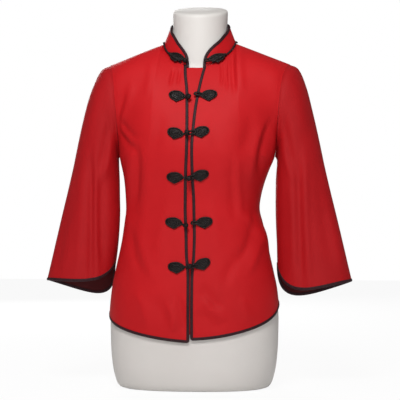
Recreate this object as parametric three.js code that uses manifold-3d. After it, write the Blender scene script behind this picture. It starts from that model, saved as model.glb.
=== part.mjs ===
// Short cheongsam-style jacket with a stand collar, bell sleeves and six frogs, on a limbless dress form.
// Millimetres, +Z up, front towards -Y, +X to the wearer's left.
// Origin: middle of the form's flat underside.
import * as THREE from "three";
import Module from "manifold-3d";

const wasm = await Module();
wasm.setup();

// Driving sizes ------------------------------------------------------------------------------
const CLOTH = 1.2; // thickness of the wall of cloth
const SEAM = 0.2; // half of the gap left at a seam
const ROUND = 0.833; // power of the rounded section, 1 is an ellipse
const UNDERARM_Z = 473;
const NECK_U = 0.34; // share of a panel's width that ends on the neckline
const SHOULDER = { x: 186, y: 8, z: 664 };
const NECK = { half: 74.5, y: 12, front: 62, back: 56, low: 651, side: 708, high: 722 };
const BIND = { wide: 2.4, thick: 1.3, gap: 0.35, sunk: 0.2 }; // half sizes of the satin binding
const SLEEVE_SHIFT = 8; // both sleeves hang this far towards the wearer's left
const COLLAR = { tall: 36, lean: 0.185, leanFront: 0.08, leanBack: 0.12, first: 5, lift: 0.8 };
const CORNER = { left: 12.5, leftSpan: 26, right: 17.4, rightSpan: 40 }; // degrees: rounded collar fronts
const UNDERLAP = { from: -34, to: 27, low: 116, high: 655, inset: 2.2 };
const NECK_TOP = { z: 775, slope: 0.28 };
const PIPING = 1.8; // radius of the cord on the neck seam

// Outline of the jacket's body: half width, depth to the front and to the back at each height.
const BODY = [
  { z: 100, half: 175.0, front: 118.0, back: 112.0 },
  { z: 125, half: 175.3, front: 118.5, back: 113.0 },
  { z: 153, half: 175.3, front: 119.0, back: 114.0 },
  { z: 177, half: 173.5, front: 118.5, back: 114.0 },
  { z: 208, half: 169.5, front: 116.0, back: 112.0 },
  { z: 239, half: 163.0, front: 113.0, back: 106.0 },
  { z: 268, half: 156.5, front: 110.0, back: 99.0 },
  { z: 301, half: 149.5, front: 107.5, back: 91.0 },
  { z: 342, half: 141.5, front: 105.0, back: 82.0 },
  { z: 363, half: 137.0, front: 104.5, back: 79.0 },
  { z: 384, half: 138.0, front: 105.0, back: 79.0 },
  { z: 425, half: 145.5, front: 110.5, back: 84.0 },
  { z: 473, half: 160.0, front: 119.0, back: 93.0 },
];

// The same for the dress form, from its flat underside to under the arm.
const FORM = [
  { z: 0, half: 148.0, front: 97.0, back: 93.0 },
  { z: 2, half: 154.0, front: 103.0, back: 98.0 },
  { z: 7, half: 158.5, front: 107.0, back: 102.0 },
  { z: 14, half: 161.5, front: 109.5, back: 104.5 },
  { z: 38, half: 167.5, front: 113.0, back: 108.0 },
  { z: 75, half: 171.7, front: 113.0, back: 108.5 },
  { z: 110, half: 173.0, front: 113.0, back: 109.0 },
  { z: 150, half: 173.2, front: 113.4, back: 109.5 },
  { z: 177, half: 170.5, front: 112.4, back: 109.0 },
  { z: 208, half: 164.0, front: 110.0, back: 106.0 },
  { z: 239, half: 157.0, front: 107.0, back: 100.0 },
  { z: 268, half: 150.5, front: 104.0, back: 93.0 },
  { z: 301, half: 143.5, front: 101.0, back: 85.0 },
  { z: 342, half: 135.5, front: 98.5, back: 76.0 },
  { z: 363, half: 131.0, front: 98.0, back: 73.0 },
  { z: 384, half: 132.0, front: 98.5, back: 73.0 },
  { z: 425, half: 139.0, front: 103.5, back: 78.0 },
  { z: 473, half: 152.5, front: 111.5, back: 85.5 },
];

// How far the figure's middle stands to the wearer's left at each height.
const LEAN = [
  { z: 0, x: 0 },
  { z: 300, x: 0 },
  { z: 363, x: -2 },
  { z: 400, x: -1 },
  { z: 440, x: 2.5 },
  { z: 480, x: 6 },
  { z: 520, x: 8 },
  { z: 600, x: 9 },
  { z: 700, x: 10.5 },
  { z: 800, x: 11.5 },
];

// Shoulder part of a panel, across its width: depth half way up, first rise and last drop of the curve.
const YOKE = [
  { u: 0.0, front: -94, back: 91, rise: 0.32, frontDrop: 31, backDrop: 45 },
  { u: 0.2, front: -84, back: 85, rise: 0.36, frontDrop: 20, backDrop: 28 },
  { u: 0.34, front: -76, back: 77, rise: 0.4, frontDrop: 12, backDrop: 14 },
  { u: 0.6, front: -67, back: 66, rise: 0.42, frontDrop: 6, backDrop: 8 },
  { u: 1.0, front: -57, back: 50, rise: 0.36, frontDrop: 12, backDrop: 12 },
];

// Middle line of the binding on each front edge, measured outwards from the figure's middle.
// A number below zero lies past the middle, on the other side.
const EDGE = [
  { z: 100, right: 2.7, left: 2.8 },
  { z: 215, right: 2.7, left: 2.8 },
  { z: 241, right: 3.3, left: 3.6 },
  { z: 275, right: 6.4, left: 6.5 },
  { z: 358, right: 7.2, left: 8.5 },
  { z: 394, right: 7.5, left: 7.0 },
  { z: 447, right: 10.5, left: 0.3 },
  { z: 490, right: 12.0, left: -3.6 },
  { z: 520, right: 13.2, left: -3.2 },
  { z: 565, right: 15.0, left: -0.2 },
  { z: 607, right: 17.6, left: 5.3 },
  { z: 638, right: 22.4, left: 10.6 },
  { z: 656, right: 23.8, left: 14.5 },
];

// Curved hem of each side: height at the middle and at the side seam, and how the rise is shared.
const HEM = {
  right: { middle: 104.0, side: 156, early: 0.93, power: 1.25 },
  left: { middle: 109.0, side: 176, early: 0.92, power: 1.4 },
};

// Sleeve from the armhole to the cuff: outer and inner fold lines and the depth in front and behind.
const SLEEVE = [
  { t: 0.0, outX: 186, outZ: 664, inRight: 161, inLeft: 161, inZ: 473, front: 57, back: 50 },
  { t: 0.07, outX: 205, outZ: 653, inRight: 163.5, inLeft: 163.5, inZ: 469, front: 56, back: 50 },
  { t: 0.17, outX: 222, outZ: 616, inRight: 165, inLeft: 163.5, inZ: 461, front: 54, back: 49 },
  { t: 0.28, outX: 236, outZ: 565, inRight: 165, inLeft: 161.5, inZ: 447, front: 51, back: 48 },
  { t: 0.4, outX: 248.5, outZ: 510, inRight: 164, inLeft: 160, inZ: 425, front: 48, back: 46 },
  { t: 0.51, outX: 260, outZ: 455, inRight: 163.5, inLeft: 159.5, inZ: 395, front: 45, back: 44 },
  { t: 0.62, outX: 272, outZ: 403, inRight: 163, inLeft: 159.5, inZ: 362, front: 43, back: 42 },
  { t: 0.74, outX: 285, outZ: 350, inRight: 164.5, inLeft: 160.5, inZ: 328, front: 42, back: 42 },
  { t: 0.86, outX: 298, outZ: 295, inRight: 167.5, inLeft: 162, inZ: 296, front: 42, back: 42 },
  { t: 0.94, outX: 308, outZ: 252, inRight: 171.5, inLeft: 162.5, inZ: 273, front: 42, back: 43 },
  { t: 1.0, outX: 317, outZ: 214, inRight: 175, inLeft: 163, inZ: 252, front: 42, back: 44 },
];
const CUFF_DROP = { right: { front: 24, back: 57 }, left: { front: 42, back: 60 } };

// Frogs, from the figure's middle: place and tilt of the knot's pad and the loop's pad, place of the
// knot, and of the loop's end where the frog is open.
const FROGS = [
  { name: "frog_2", right: [36.9, 593, 6], left: [27, 594.3, 3], knot: [-13, 588.5], open: [-1.7, 595] },
  { name: "frog_3", right: [36.5, 517, 12], left: [14, 519.7, 7], knot: [-12.3, 515.5] },
  { name: "frog_4", right: [31.2, 429.5, 1], left: [18.7, 433.6, 7], knot: [-2, 429] },
  { name: "frog_5", right: [31.3, 338.7, 1], left: [28.9, 339.5, 5], knot: [-7, 333], open: [3.8, 338] },
  { name: "frog_6", right: [27, 249.8, 0], left: [24.2, 256.5, 18], knot: [0.5, 251] },
];
const COLLAR_FROG = { right: { beta: 38, up: 3, tilt: 16 }, left: { beta: 33, up: 3, tilt: 14 } };
const PAD = { long: 17.5, thick: 4.2, cord: 1.3, ball: 5.6, clear: 0.6, over: 1.5 };
const LOOP_GAP = 3.4; // from the hairpin's middle to the middle of its cord

// Outline of a pad: distance from its middle at each angle. 0 degrees is its far end, 90 its top.
const PAD_OUTLINE = [
  { turn: 0, r: 17.5 },
  { turn: 20, r: 17.2 },
  { turn: 40, r: 14.6 },
  { turn: 65, r: 11.8 },
  { turn: 90, r: 11.0 },
  { turn: 115, r: 11.3 },
  { turn: 140, r: 12.6 },
  { turn: 160, r: 15.0 },
  { turn: 180, r: 17.5 },
  { turn: 200, r: 15.3 },
  { turn: 220, r: 12.6 },
  { turn: 245, r: 11.9 },
  { turn: 262, r: 12.6 },
  { turn: 270, r: 13.4 },
  { turn: 278, r: 12.8 },
  { turn: 295, r: 11.8 },
  { turn: 320, r: 13.0 },
  { turn: 340, r: 15.5 },
  { turn: 360, r: 17.5 },
];

// Small sums ---------------------------------------------------------------------------------
const mix = (a, b, t) => a + (b - a) * t;
const clamp01 = (t) => Math.min(1, Math.max(0, t));
const smooth = (a, b, t) => {
  const s = clamp01((t - a) / (b - a));
  return s * s * (3 - 2 * s);
};
const V = (x, y, z) => new THREE.Vector3(x, y, z);
const rad = (degrees) => (degrees * Math.PI) / 180;

// Smooth value of one column of a table at a key, by a cubic curve through its rows.
function along(rows, key, name, at) {
  const last = rows.length - 1;
  const i = Math.max(0, Math.min(last - 1, rows.findLastIndex((r) => r[key] <= at)));
  const [a, b] = [rows[i], rows[i + 1]];
  const before = rows[Math.max(0, i - 1)];
  const after = rows[Math.min(last, i + 2)];
  const span = b[key] - a[key];
  const s = clamp01((at - a[key]) / span);
  const startSlope = ((b[name] - before[name]) / (b[key] - before[key])) * span;
  const endSlope = ((after[name] - a[name]) / (after[key] - a[key])) * span;
  const [s2, s3] = [s * s, s * s * s];
  return (
    (2 * s3 - 3 * s2 + 1) * a[name] +
    (s3 - 2 * s2 + s) * startSlope +
    (3 * s2 - 2 * s3) * b[name] +
    (s3 - s2) * endSlope
  );
}

const leanAt = (z) => along(LEAN, "z", "x", z);
const sideName = (side) => (side < 0 ? "right" : "left");
const lean = (p) => V(p.x + leanAt(p.z), p.y, p.z);

// Body surface -------------------------------------------------------------------------------
// A point of a rounded section: u 0 is the middle of the front or back, 1 the side.
function section(rows, side, back, u, z) {
  const a = rad(90 * u);
  const deep = back ? along(rows, "z", "back", z) : -along(rows, "z", "front", z);
  const x = side * along(rows, "z", "half", z) * Math.sin(a) ** ROUND;
  return V(x, deep * Math.max(0, Math.cos(a)) ** ROUND, z);
}

// A point of the neckline: 0 degrees at the front, 180 at the back.
function neckline(side, beta) {
  const c = Math.cos(rad(beta));
  const z =
    c >= 0
      ? NECK.low + (NECK.side - NECK.low) * (1 - c) ** 0.7
      : mix(NECK.side, NECK.high, -c);
  return V(side * NECK.half * Math.sin(rad(beta)), NECK.y - (c >= 0 ? NECK.front : NECK.back) * c, z);
}

// The end of a panel's column: on the neckline near the middle, then on the shoulder seam.
function columnEnd(side, back, u) {
  if (u <= NECK_U) return neckline(side, back ? 180 - (90 * u) / NECK_U : (90 * u) / NECK_U);
  const s = (u - NECK_U) / (1 - NECK_U);
  const neck = neckline(side, 90);
  return V(mix(neck.x, side * SHOULDER.x, s), mix(neck.y, SHOULDER.y, s), mix(neck.z, SHOULDER.z, s));
}

// The curve from under the arm up to the neckline or over the shoulder.
function upper(side, back, u, t) {
  const start = section(BODY, side, back, u, UNDERARM_Z);
  const end = columnEnd(side, back, u);
  const middle = along(YOKE, "u", back ? "back" : "front", u);
  const full = (middle - 0.125 * (start.y + end.y)) / 0.375;
  const y1 = mix(start.y, full / 2, u * u);
  const z1 = mix(start.z, end.z, along(YOKE, "u", "rise", u));
  const z2 = end.z - along(YOKE, "u", back ? "backDrop" : "frontDrop", u);
  const bulge = 3 * u * u;
  const x1 = mix(start.x, end.x, 0.18) + side * bulge * 0.3;
  const x2 = mix(start.x, end.x, 0.5) - side * bulge * 2.2;
  const [s, k] = [t, 1 - t];
  const [c0, c1, c2, c3] = [k * k * k, 3 * k * k * s, 3 * k * s * s, s * s * s];
  return V(
    c0 * start.x + c1 * x1 + c2 * x2 + c3 * end.x,
    c0 * start.y + c1 * y1 + c2 * (full - y1) + c3 * end.y,
    c0 * start.z + c1 * z1 + c2 * z2 + c3 * end.z,
  );
}

// Outward direction of the shoulder part of the body's surface.
function upperNormal(side, back, u, t) {
  const [u0, u1] = u < 0.99 ? [u, u + 0.01] : [u - 0.01, u];
  const [t0, t1] = t < 0.99 ? [t, t + 0.01] : [t - 0.01, t];
  const across = upper(side, back, u1, t).sub(upper(side, back, u0, t));
  const up = upper(side, back, u, t1).sub(upper(side, back, u, t0));
  return across.cross(up).normalize().multiplyScalar(side * (back ? -1 : 1));
}

// Lower edge of the cloth itself, above its binding.
function hemAt(side, u) {
  const h = HEM[sideName(side)];
  return mix(h.middle, h.side, h.early * u ** h.power + (1 - h.early) * u ** 6);
}

// v 0 to 1 runs from the hem to under the arm, 1 to 2 on to the neck or shoulder.
// A share u below zero lies past the middle.
function bodyPoint(side, back, u, v) {
  const here = u < 0 ? -side : side;
  const share = Math.abs(u);
  if (v > 1) return upper(here, back, share, v - 1);
  return section(BODY, here, back, share, mix(hemAt(side, share), UNDERARM_Z, v));
}

// The share of the width at which the front edge stands at this height of the panel.
function edgeShare(side, v) {
  let [low, high] = [-0.12, 0.3];
  for (let i = 0; i < 30; i++) {
    const u = (low + high) / 2;
    const p = bodyPoint(side, false, u, v);
    const edge = along(EDGE, "z", sideName(side), p.z) + BIND.wide + BIND.gap;
    if (side * p.x < edge) low = u;
    else high = u;
  }
  return (low + high) / 2;
}

// Depth of the front surface at a place seen from the front.
function frontDepth(x, z) {
  const side = x < 0 ? -1 : 1;
  if (z <= UNDERARM_Z) {
    const share = Math.abs(x) / along(BODY, "z", "half", z);
    return -along(BODY, "z", "front", z) * (1 - share ** (2 / ROUND)) ** (ROUND / 2);
  }
  let [low, high] = [0, 0.5];
  let p = V(0, 0, 0);
  for (let i = 0; i < 24; i++) {
    const u = (low + high) / 2;
    let [below, above] = [0, 1.15];
    for (let j = 0; j < 24; j++) {
      const t = (below + above) / 2;
      p = upper(side, false, u, t);
      if (p.z < z) below = t;
      else above = t;
    }
    if (Math.abs(p.x) < Math.abs(x)) low = u;
    else high = u;
  }
  return p.y;
}

// A place on the front, moved out from the cloth.
function onFront(x, z, out) {
  const step = 2;
  const y = frontDepth(x, z);
  const across = V(step, frontDepth(x + step, z) - y, 0);
  const up = V(0, frontDepth(x, z + step) - y, step);
  const normal = across.cross(up).normalize();
  return lean(V(x, y, z).addScaledVector(normal, out));
}

// Solids from grids --------------------------------------------------------------------------
// Welds equal points, drops faces that close up, and turns the solid's faces outwards.
function solid(points, faces) {
  const seen = new Map();
  const kept = [];
  const place = points.map((p) => {
    const key = [p.x, p.y, p.z].map((c) => Math.round(c * 500)).join();
    if (!seen.has(key)) {
      seen.set(key, kept.length);
      kept.push(p);
    }
    return seen.get(key);
  });
  let index = faces.map((f) => f.map((i) => place[i])).filter(([a, b, c]) => a !== b && b !== c && a !== c);
  const volume = index.reduce((sum, [a, b, c]) => sum + kept[a].dot(kept[b].clone().cross(kept[c])), 0);
  if (volume < 0) index = index.map(([a, b, c]) => [a, c, b]);
  const geometry = new THREE.BufferGeometry();
  const numbers = kept.flatMap((p) => [p.x, p.y, p.z]);
  geometry.setAttribute("position", new THREE.Float32BufferAttribute(numbers, 3));
  geometry.setIndex(index.flat());
  geometry.computeVertexNormals();
  return geometry;
}

const quad = (a, b, c, d) => [
  [a, b, c],
  [a, c, d],
];

// Normals of a grid of points, by differences to its neighbours.
function gridNormals(grid, closed) {
  const [n, m] = [grid.length, grid[0].length];
  return grid.map((row, i) =>
    row.map((_, j) => {
      const before = closed ? grid[(i + n - 1) % n] : grid[Math.max(0, i - 1)];
      const after = closed ? grid[(i + 1) % n] : grid[Math.min(n - 1, i + 1)];
      const across = after[j].clone().sub(before[j]);
      const up = row[Math.min(m - 1, j + 1)].clone().sub(row[Math.max(0, j - 1)]);
      return across.cross(up).normalize();
    }),
  );
}

// A wall of cloth: the grid is its outer face, the inner one lies a thickness inside it.
// turn is 1 when the grid's own normals face out and -1 when they face in.
// onSeam tells where two panels meet edge to edge, so that both inner faces end on one plane.
function wall(grid, turn, closed = false, onSeam = () => false) {
  const normals = gridNormals(grid, closed);
  normals.forEach((row, i) => row.forEach((n, j) => onSeam(i, j) && n.setY(0).normalize()));
  const [n, m] = [grid.length, grid[0].length];
  const points = [];
  grid.forEach((row) => row.forEach((p) => points.push(p)));
  const inner = (p, i, j) => p.clone().addScaledVector(normals[i][j], -turn * CLOTH);
  grid.forEach((row, i) => row.forEach((p, j) => points.push(inner(p, i, j))));
  const out = (i, j) => (i % n) * m + j;
  const inn = (i, j) => n * m + out(i, j);
  const faces = [];
  const last = closed ? n : n - 1;
  for (let i = 0; i < last; i++) {
    for (let j = 0; j < m - 1; j++) {
      faces.push(...quad(out(i, j), out(i + 1, j), out(i + 1, j + 1), out(i, j + 1)));
      faces.push(...quad(inn(i, j), inn(i, j + 1), inn(i + 1, j + 1), inn(i + 1, j)));
    }
    faces.push(...quad(out(i, 0), inn(i, 0), inn(i + 1, 0), out(i + 1, 0)));
    faces.push(...quad(out(i, m - 1), out(i + 1, m - 1), inn(i + 1, m - 1), inn(i, m - 1)));
  }
  if (!closed) {
    for (let j = 0; j < m - 1; j++) {
      faces.push(...quad(out(0, j), out(0, j + 1), inn(0, j + 1), inn(0, j)));
      faces.push(...quad(out(n - 1, j), inn(n - 1, j), inn(n - 1, j + 1), out(n - 1, j + 1)));
    }
  }
  return solid(points, faces);
}

// A rod with an oval section along a path; normals give the direction of its thin side.
function rod(path, normals, wide, thick, closed = false, sides = 8) {
  const n = path.length;
  const points = [];
  path.forEach((p, i) => {
    const before = closed ? path[(i + n - 1) % n] : path[Math.max(0, i - 1)];
    const after = closed ? path[(i + 1) % n] : path[Math.min(n - 1, i + 1)];
    const way = after.clone().sub(before).normalize();
    const across = way.clone().cross(normals[i]).normalize();
    const out = across.clone().cross(way).normalize();
    for (let k = 0; k < sides; k++) {
      const a = (2 * Math.PI * (k + 0.5)) / sides;
      const q = p.clone().addScaledVector(across, wide * Math.cos(a));
      points.push(q.addScaledVector(out, thick * Math.sin(a)));
    }
  });
  const faces = [];
  const last = closed ? n : n - 1;
  const at = (i, k) => (i % n) * sides + (k % sides);
  for (let i = 0; i < last; i++) {
    for (let k = 0; k < sides; k++) {
      faces.push(...quad(at(i, k), at(i + 1, k), at(i + 1, k + 1), at(i, k + 1)));
    }
  }
  if (!closed) {
    for (let k = 1; k < sides - 1; k++) {
      faces.push([at(0, 0), at(0, k), at(0, k + 1)]);
      faces.push([at(n - 1, 0), at(n - 1, k + 1), at(n - 1, k)]);
    }
  }
  return solid(points, faces);
}

// The line a little beyond an edge of cloth, in the cloth's own surface, for its binding.
function beyond(edge, inside, normals, reach) {
  return edge.map((p, i) => {
    const way = edge[Math.min(edge.length - 1, i + 1)].clone().sub(edge[Math.max(0, i - 1)]);
    const out = way.cross(normals[i]).normalize();
    const sign = out.dot(p.clone().sub(inside[i])) > 0 ? 1 : -1;
    return p.clone().addScaledVector(out, sign * reach);
  });
}

// Panels -------------------------------------------------------------------------------------
const ROWS_BELOW = [0, 0.05, 0.13, 0.25, 0.38, 0.5, 0.61, 0.72, 0.86];
const ROWS = [...ROWS_BELOW, 1, 1.1, 1.22, 1.36, 1.5, 1.64, 1.77, 1.88, 2];
const FRONT_STEPS = [0, 0.13, 0.28, 0.43, 0.58, 0.72, 0.86, 1, 1.17, 1.34, 1.5, 1.65, 1.78, 1.9, 2];
const BACK_STEPS = [0, 0.16, 0.32, 0.48, 0.64, 0.82, 1, 1.17, 1.34, 1.5, 1.65, 1.78, 1.9, 2];

// A step of 0 to 1 runs across the part under the neck, 1 to 2 across the part under the shoulder.
const shareAt = (step, first) => (step <= 1 ? mix(first, NECK_U, step) : mix(NECK_U, 1, step - 1));

function frontGrid(side) {
  const firsts = ROWS.map((v) => edgeShare(side, v));
  return FRONT_STEPS.map((step) =>
    ROWS.map((v, j) => {
      const p = lean(bodyPoint(side, false, shareAt(step, firsts[j]), v));
      return p.setY(p.y - SEAM);
    }),
  );
}

const frontSeam = (i, j) => i === FRONT_STEPS.length - 1 || (j === ROWS.length - 1 && FRONT_STEPS[i] >= 1);
const backSeam = (i, j) => {
  const k = Math.abs(i - (BACK_STEPS.length - 1));
  return k === BACK_STEPS.length - 1 || (j === ROWS.length - 1 && BACK_STEPS[k] >= 1);
};

function backGrid() {
  const columns = [...BACK_STEPS.slice(1).reverse().map((s) => -s), ...BACK_STEPS];
  return columns.map((step) =>
    ROWS.map((v) => {
      const p = lean(bodyPoint(step < 0 ? -1 : 1, true, shareAt(Math.abs(step), 0), v));
      return p.setY(p.y + SEAM);
    }),
  );
}

// A point a few millimetres past the end of a path.
function carriedOn(path) {
  const end = path.at(-1);
  return end.clone().addScaledVector(end.clone().sub(path.at(-2)).normalize(), 6);
}

// Cuts a solid flat at a plane and keeps the side that the plane's direction points to.
function trimmed(geometry, direction, offset) {
  return fromManifold(asManifold(geometry).trimByPlane([direction.x, direction.y, direction.z], offset));
}

// Binding of a front: down its edge, round the corner and along its curved hem.
function frontBinding(side) {
  const grid = frontGrid(side);
  const normals = gridNormals(grid, false).map((row) => row.map((n) => n.multiplyScalar(side)));
  const reach = BIND.wide + BIND.gap;
  const down = grid[0].slice().reverse();
  const downIn = grid[1].slice().reverse();
  const downN = normals[0].slice().reverse();
  const hem = grid.map((row) => row[0]);
  const hemIn = grid.map((row) => row[1]);
  const hemN = normals.map((row) => row[0]);
  const first = beyond(down, downIn, downN, reach);
  const second = beyond(hem, hemIn, hemN, reach);
  const corner = grid[0][0];
  const turnOut = first.at(-1).clone().add(second[0]).sub(corner.clone().multiplyScalar(2)).normalize();
  const path = [...first, corner.clone().addScaledVector(turnOut, reach * 1.15), ...second];
  const ns = [...downN, normals[0][0], ...hemN].map((n) => n.clone());
  const sunk = path.map((p, i) => p.clone().addScaledVector(ns[i], -BIND.sunk));
  sunk[0].lerp(sunk[1], 0.3);
  ns.push(ns.at(-1).clone());
  sunk.push(carriedOn(sunk));
  return trimmed(rod(sunk, ns, BIND.wide, BIND.thick, false, 6), V(0, -1, 0), SEAM);
}

function backBinding() {
  const grid = backGrid();
  const normals = gridNormals(grid, false).map((row) => row.map((n) => n.multiplyScalar(-1)));
  const hem = grid.map((row) => row[0]);
  const path = beyond(hem, grid.map((row) => row[1]), normals.map((row) => row[0]), BIND.wide + BIND.gap);
  const ns = normals.map((row) => row[0]);
  const sunk = path.map((p, i) => p.clone().addScaledVector(ns[i], -BIND.sunk));
  ns.push(ns.at(-1).clone());
  ns.unshift(ns[0].clone());
  sunk.push(carriedOn(sunk));
  sunk.unshift(carriedOn(sunk.slice(0, 2).reverse()));
  return trimmed(rod(sunk, ns, BIND.wide, BIND.thick, false, 6), V(0, 1, 0), SEAM);
}

function underlap() {
  const columns = 7;
  const rows = 26;
  const grid = [];
  for (let i = 0; i < columns; i++) {
    const x = mix(UNDERLAP.from, UNDERLAP.to, i / (columns - 1));
    const column = [];
    for (let j = 0; j < rows; j++) {
      column.push(onFront(x, mix(UNDERLAP.low, UNDERLAP.high, j / (rows - 1)), -UNDERLAP.inset));
    }
    grid.push(column);
  }
  return wall(grid, 1);
}

// Sleeves ------------------------------------------------------------------------------------
// The armhole as a loop: 0 degrees at the shoulder, 90 in front, 180 under the arm, 270 behind.
function armhole(side, psi) {
  const back = psi > 180;
  const t = back ? (psi - 180) / 180 : 1 - psi / 180;
  const p = lean(upper(side, back, 1, t));
  const low = (1 - Math.cos(rad(psi))) / 2;
  return p.add(V(side * (0.5 + 1.5 * low ** 3), 0, 1.2 * low ** 3));
}

function sleeveRing(side, psi, t) {
  const c = Math.cos(rad(psi));
  const s = Math.sin(rad(psi));
  const outX = along(SLEEVE, "t", "outX", t);
  const outZ = along(SLEEVE, "t", "outZ", t);
  const inX = along(SLEEVE, "t", side < 0 ? "inRight" : "inLeft", t);
  const inZ = along(SLEEVE, "t", "inZ", t);
  const deep = along(SLEEVE, "t", s >= 0 ? "front" : "back", t);
  const half = Math.min(psi, 360 - psi) / 180;
  const drop = CUFF_DROP[sideName(side)];
  const ahead = drop.front * Math.sin(Math.PI * half ** 1.7) ** 1.3;
  const behind = drop.back * Math.sin(Math.PI * half ** 1.9) ** 0.9;
  const hang = s >= 0 ? ahead : behind;
  const fall = clamp01((t - 0.35) / 0.65) ** 1.6;
  const x = mix(outX, inX, (1 - c) / 2);
  const z = mix(outZ, inZ, (1 - c) / 2) - (Math.abs(s) < 1e-9 ? 0 : hang * fall);
  return V(side * x + SLEEVE_SHIFT, -deep * s, z);
}

function sleevePoint(side, psi, t) {
  const ring = sleeveRing(side, psi, t);
  const start = sleeveRing(side, psi, 0);
  const joined = armhole(side, psi).add(ring).sub(start);
  return joined.lerp(ring, smooth(0, 0.3, t));
}

const RINGS = [0, 0.035, 0.07, 0.12, 0.18, 0.25, 0.33, 0.42, 0.51, 0.6, 0.7, 0.8, 0.9, 0.988];
const AROUND = 26;

function sleeveGrid(side) {
  const line = (turn) => RINGS.map((t) => sleevePoint(side, turn, t));
  return Array.from({ length: AROUND }, (_, i) => line((360 * i) / AROUND));
}

function cuffBinding(side) {
  const grid = sleeveGrid(side);
  const m = RINGS.length;
  const normals = gridNormals(grid, true).map((row) => row[m - 1].multiplyScalar(side));
  const centre = grid.reduce((sum, row) => sum.add(row[m - 1]), V(0, 0, 0)).multiplyScalar(1 / AROUND);
  const outward = (n, p) => (n.dot(p.clone().sub(centre)) < 0 ? n.multiplyScalar(-1) : n);
  const ns = normals.map((n, i) => outward(n, grid[i][m - 1]));
  const edge = grid.map((row) => row[m - 1]);
  const path = edge.map((p, i) => {
    const way = edge[(i + 1) % AROUND].clone().sub(edge[(i + AROUND - 1) % AROUND]);
    const out = way.cross(ns[i]).normalize();
    const sign = out.dot(p.clone().sub(grid[i][m - 2])) > 0 ? 1 : -1;
    return p.clone().addScaledVector(out, sign * (BIND.wide + BIND.gap)).addScaledVector(ns[i], -BIND.sunk);
  });
  return rod(path, ns, BIND.wide, BIND.thick, true, 6);
}

// Collar -------------------------------------------------------------------------------------
function collarRise(beta) {
  const left = (beta - CORNER.left) / CORNER.leftSpan;
  const right = (360 - beta - CORNER.right) / CORNER.rightSpan;
  const s = clamp01(beta <= 180 ? left : right);
  const full = (1 - (1 - s) ** 2.5) ** 0.4;
  return mix(COLLAR.first, COLLAR.tall, full);
}

// beta runs from the wearer's left front corner round the back to the right one; w 0 is the seam.
function collarPoint(beta, w) {
  const side = beta <= 180 ? 1 : -1;
  const b = side > 0 ? beta : 360 - beta;
  const base = neckline(side, b);
  const rise = w * collarRise(beta);
  const share = rise / COLLAR.tall;
  const pull = COLLAR.lean * smooth(12, 62, b) * share;
  const back = (b < 90 ? COLLAR.leanFront : COLLAR.leanBack) * share;
  const y = NECK.y + (base.y - NECK.y) * (1 - back);
  return lean(V(base.x * (1 - pull), y, base.z + COLLAR.lift + rise * 0.98));
}

const COLLAR_COLUMNS = 40;
const collarBeta = (i) => {
  const s = i / COLLAR_COLUMNS;
  const e = s - 0.085 * Math.sin(2 * Math.PI * s);
  return mix(CORNER.left, 360 - CORNER.right, e);
};

function collarGrid() {
  const grid = [];
  for (let i = 0; i <= COLLAR_COLUMNS; i++) {
    grid.push([0, 0.25, 0.5, 0.75, 1].map((w) => collarPoint(collarBeta(i), w)));
  }
  return grid;
}

// Binding of the collar: up one rounded front, round the top edge and down the other front.
function collarBinding() {
  const grid = collarGrid();
  const normals = gridNormals(grid, false);
  const rim = [];
  const rimIn = [];
  const ns = [];
  const last = grid.length - 1;
  const add = (i, j, ii, jj) => {
    rim.push(grid[i][j]);
    rimIn.push(grid[ii][jj]);
    ns.push(normals[i][j].clone());
  };
  add(0, 0, 1, 0);
  add(0, 4, 1, 3);
  for (let i = 1; i < last; i++) add(i, 4, i, 3);
  add(last, 4, last - 1, 3);
  add(last, 0, last - 1, 0);
  const path = beyond(rim, rimIn, ns, BIND.wide + BIND.gap);
  const sunk = path.map((p, i) => p.clone().addScaledVector(ns[i], -BIND.sunk));
  return rod(sunk, ns, BIND.wide, BIND.thick, false, 6);
}

// The body's normal at its neckline, carried softly past the shoulder line.
function neckFlat(side, beta) {
  const front = upperNormal(side, false, (NECK_U * Math.min(beta, 90)) / 90, 1);
  const behind = upperNormal(side, true, (NECK_U * Math.min(180 - beta, 90)) / 90, 1);
  return front.lerp(behind, smooth(72, 112, beta)).normalize();
}

// Piping laid on the seam between the collar and the body.
function neckPiping() {
  const path = [];
  const ns = [];
  for (let i = 0; i <= COLLAR_COLUMNS; i++) {
    const beta = mix(CORNER.left + 4, 360 - CORNER.right - 3, i / COLLAR_COLUMNS);
    const side = beta <= 180 ? 1 : -1;
    const b = side > 0 ? beta : 360 - beta;
    const low = collarPoint(beta, 0);
    const normal = collarPoint(beta + 2, 0).sub(low).cross(collarPoint(beta, 0.5).sub(low)).normalize();
    const flat = neckFlat(side, b);
    const out = normal.clone().add(flat).normalize();
    const reach = (PIPING + 0.95) / Math.max(0.6, out.dot(flat));
    path.push(low.clone().add(V(0, 0, -COLLAR.lift / 2)).addScaledVector(out, reach));
    ns.push(out);
  }
  return rod(path, ns, PIPING, PIPING, false, 6);
}

// Dress form ---------------------------------------------------------------------------------
const FORM_UPPER = [0.08, 0.17, 0.27, 0.37, 0.48, 0.59, 0.7, 0.8, 0.9, 1];
const FORM_STEPS = [0, 0.25, 0.5, 0.75, 1, 1.2, 1.4, 1.6, 1.78, 1.9, 2];
const PLATE = 4;

// The cloth's surface, moved in to where the form lies under it.
function formUpper(side, back, u, t) {
  const p = upper(side, back, u, t);
  const n = upperNormal(side, back, u, t);
  const atNeck = mix(back ? 4 : 6.4, 4.6, u / NECK_U);
  const atShoulder = mix(4.6, 2.1, (u - NECK_U) / (1 - NECK_U));
  const atTop = u < NECK_U ? atNeck : atShoulder;
  const inset = mix(7.5, atTop, t ** 3);
  if (t === 1 && u >= NECK_U) n.set(side * 0.37, 0, 0.93);
  return p.addScaledVector(n, -inset);
}

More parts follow.
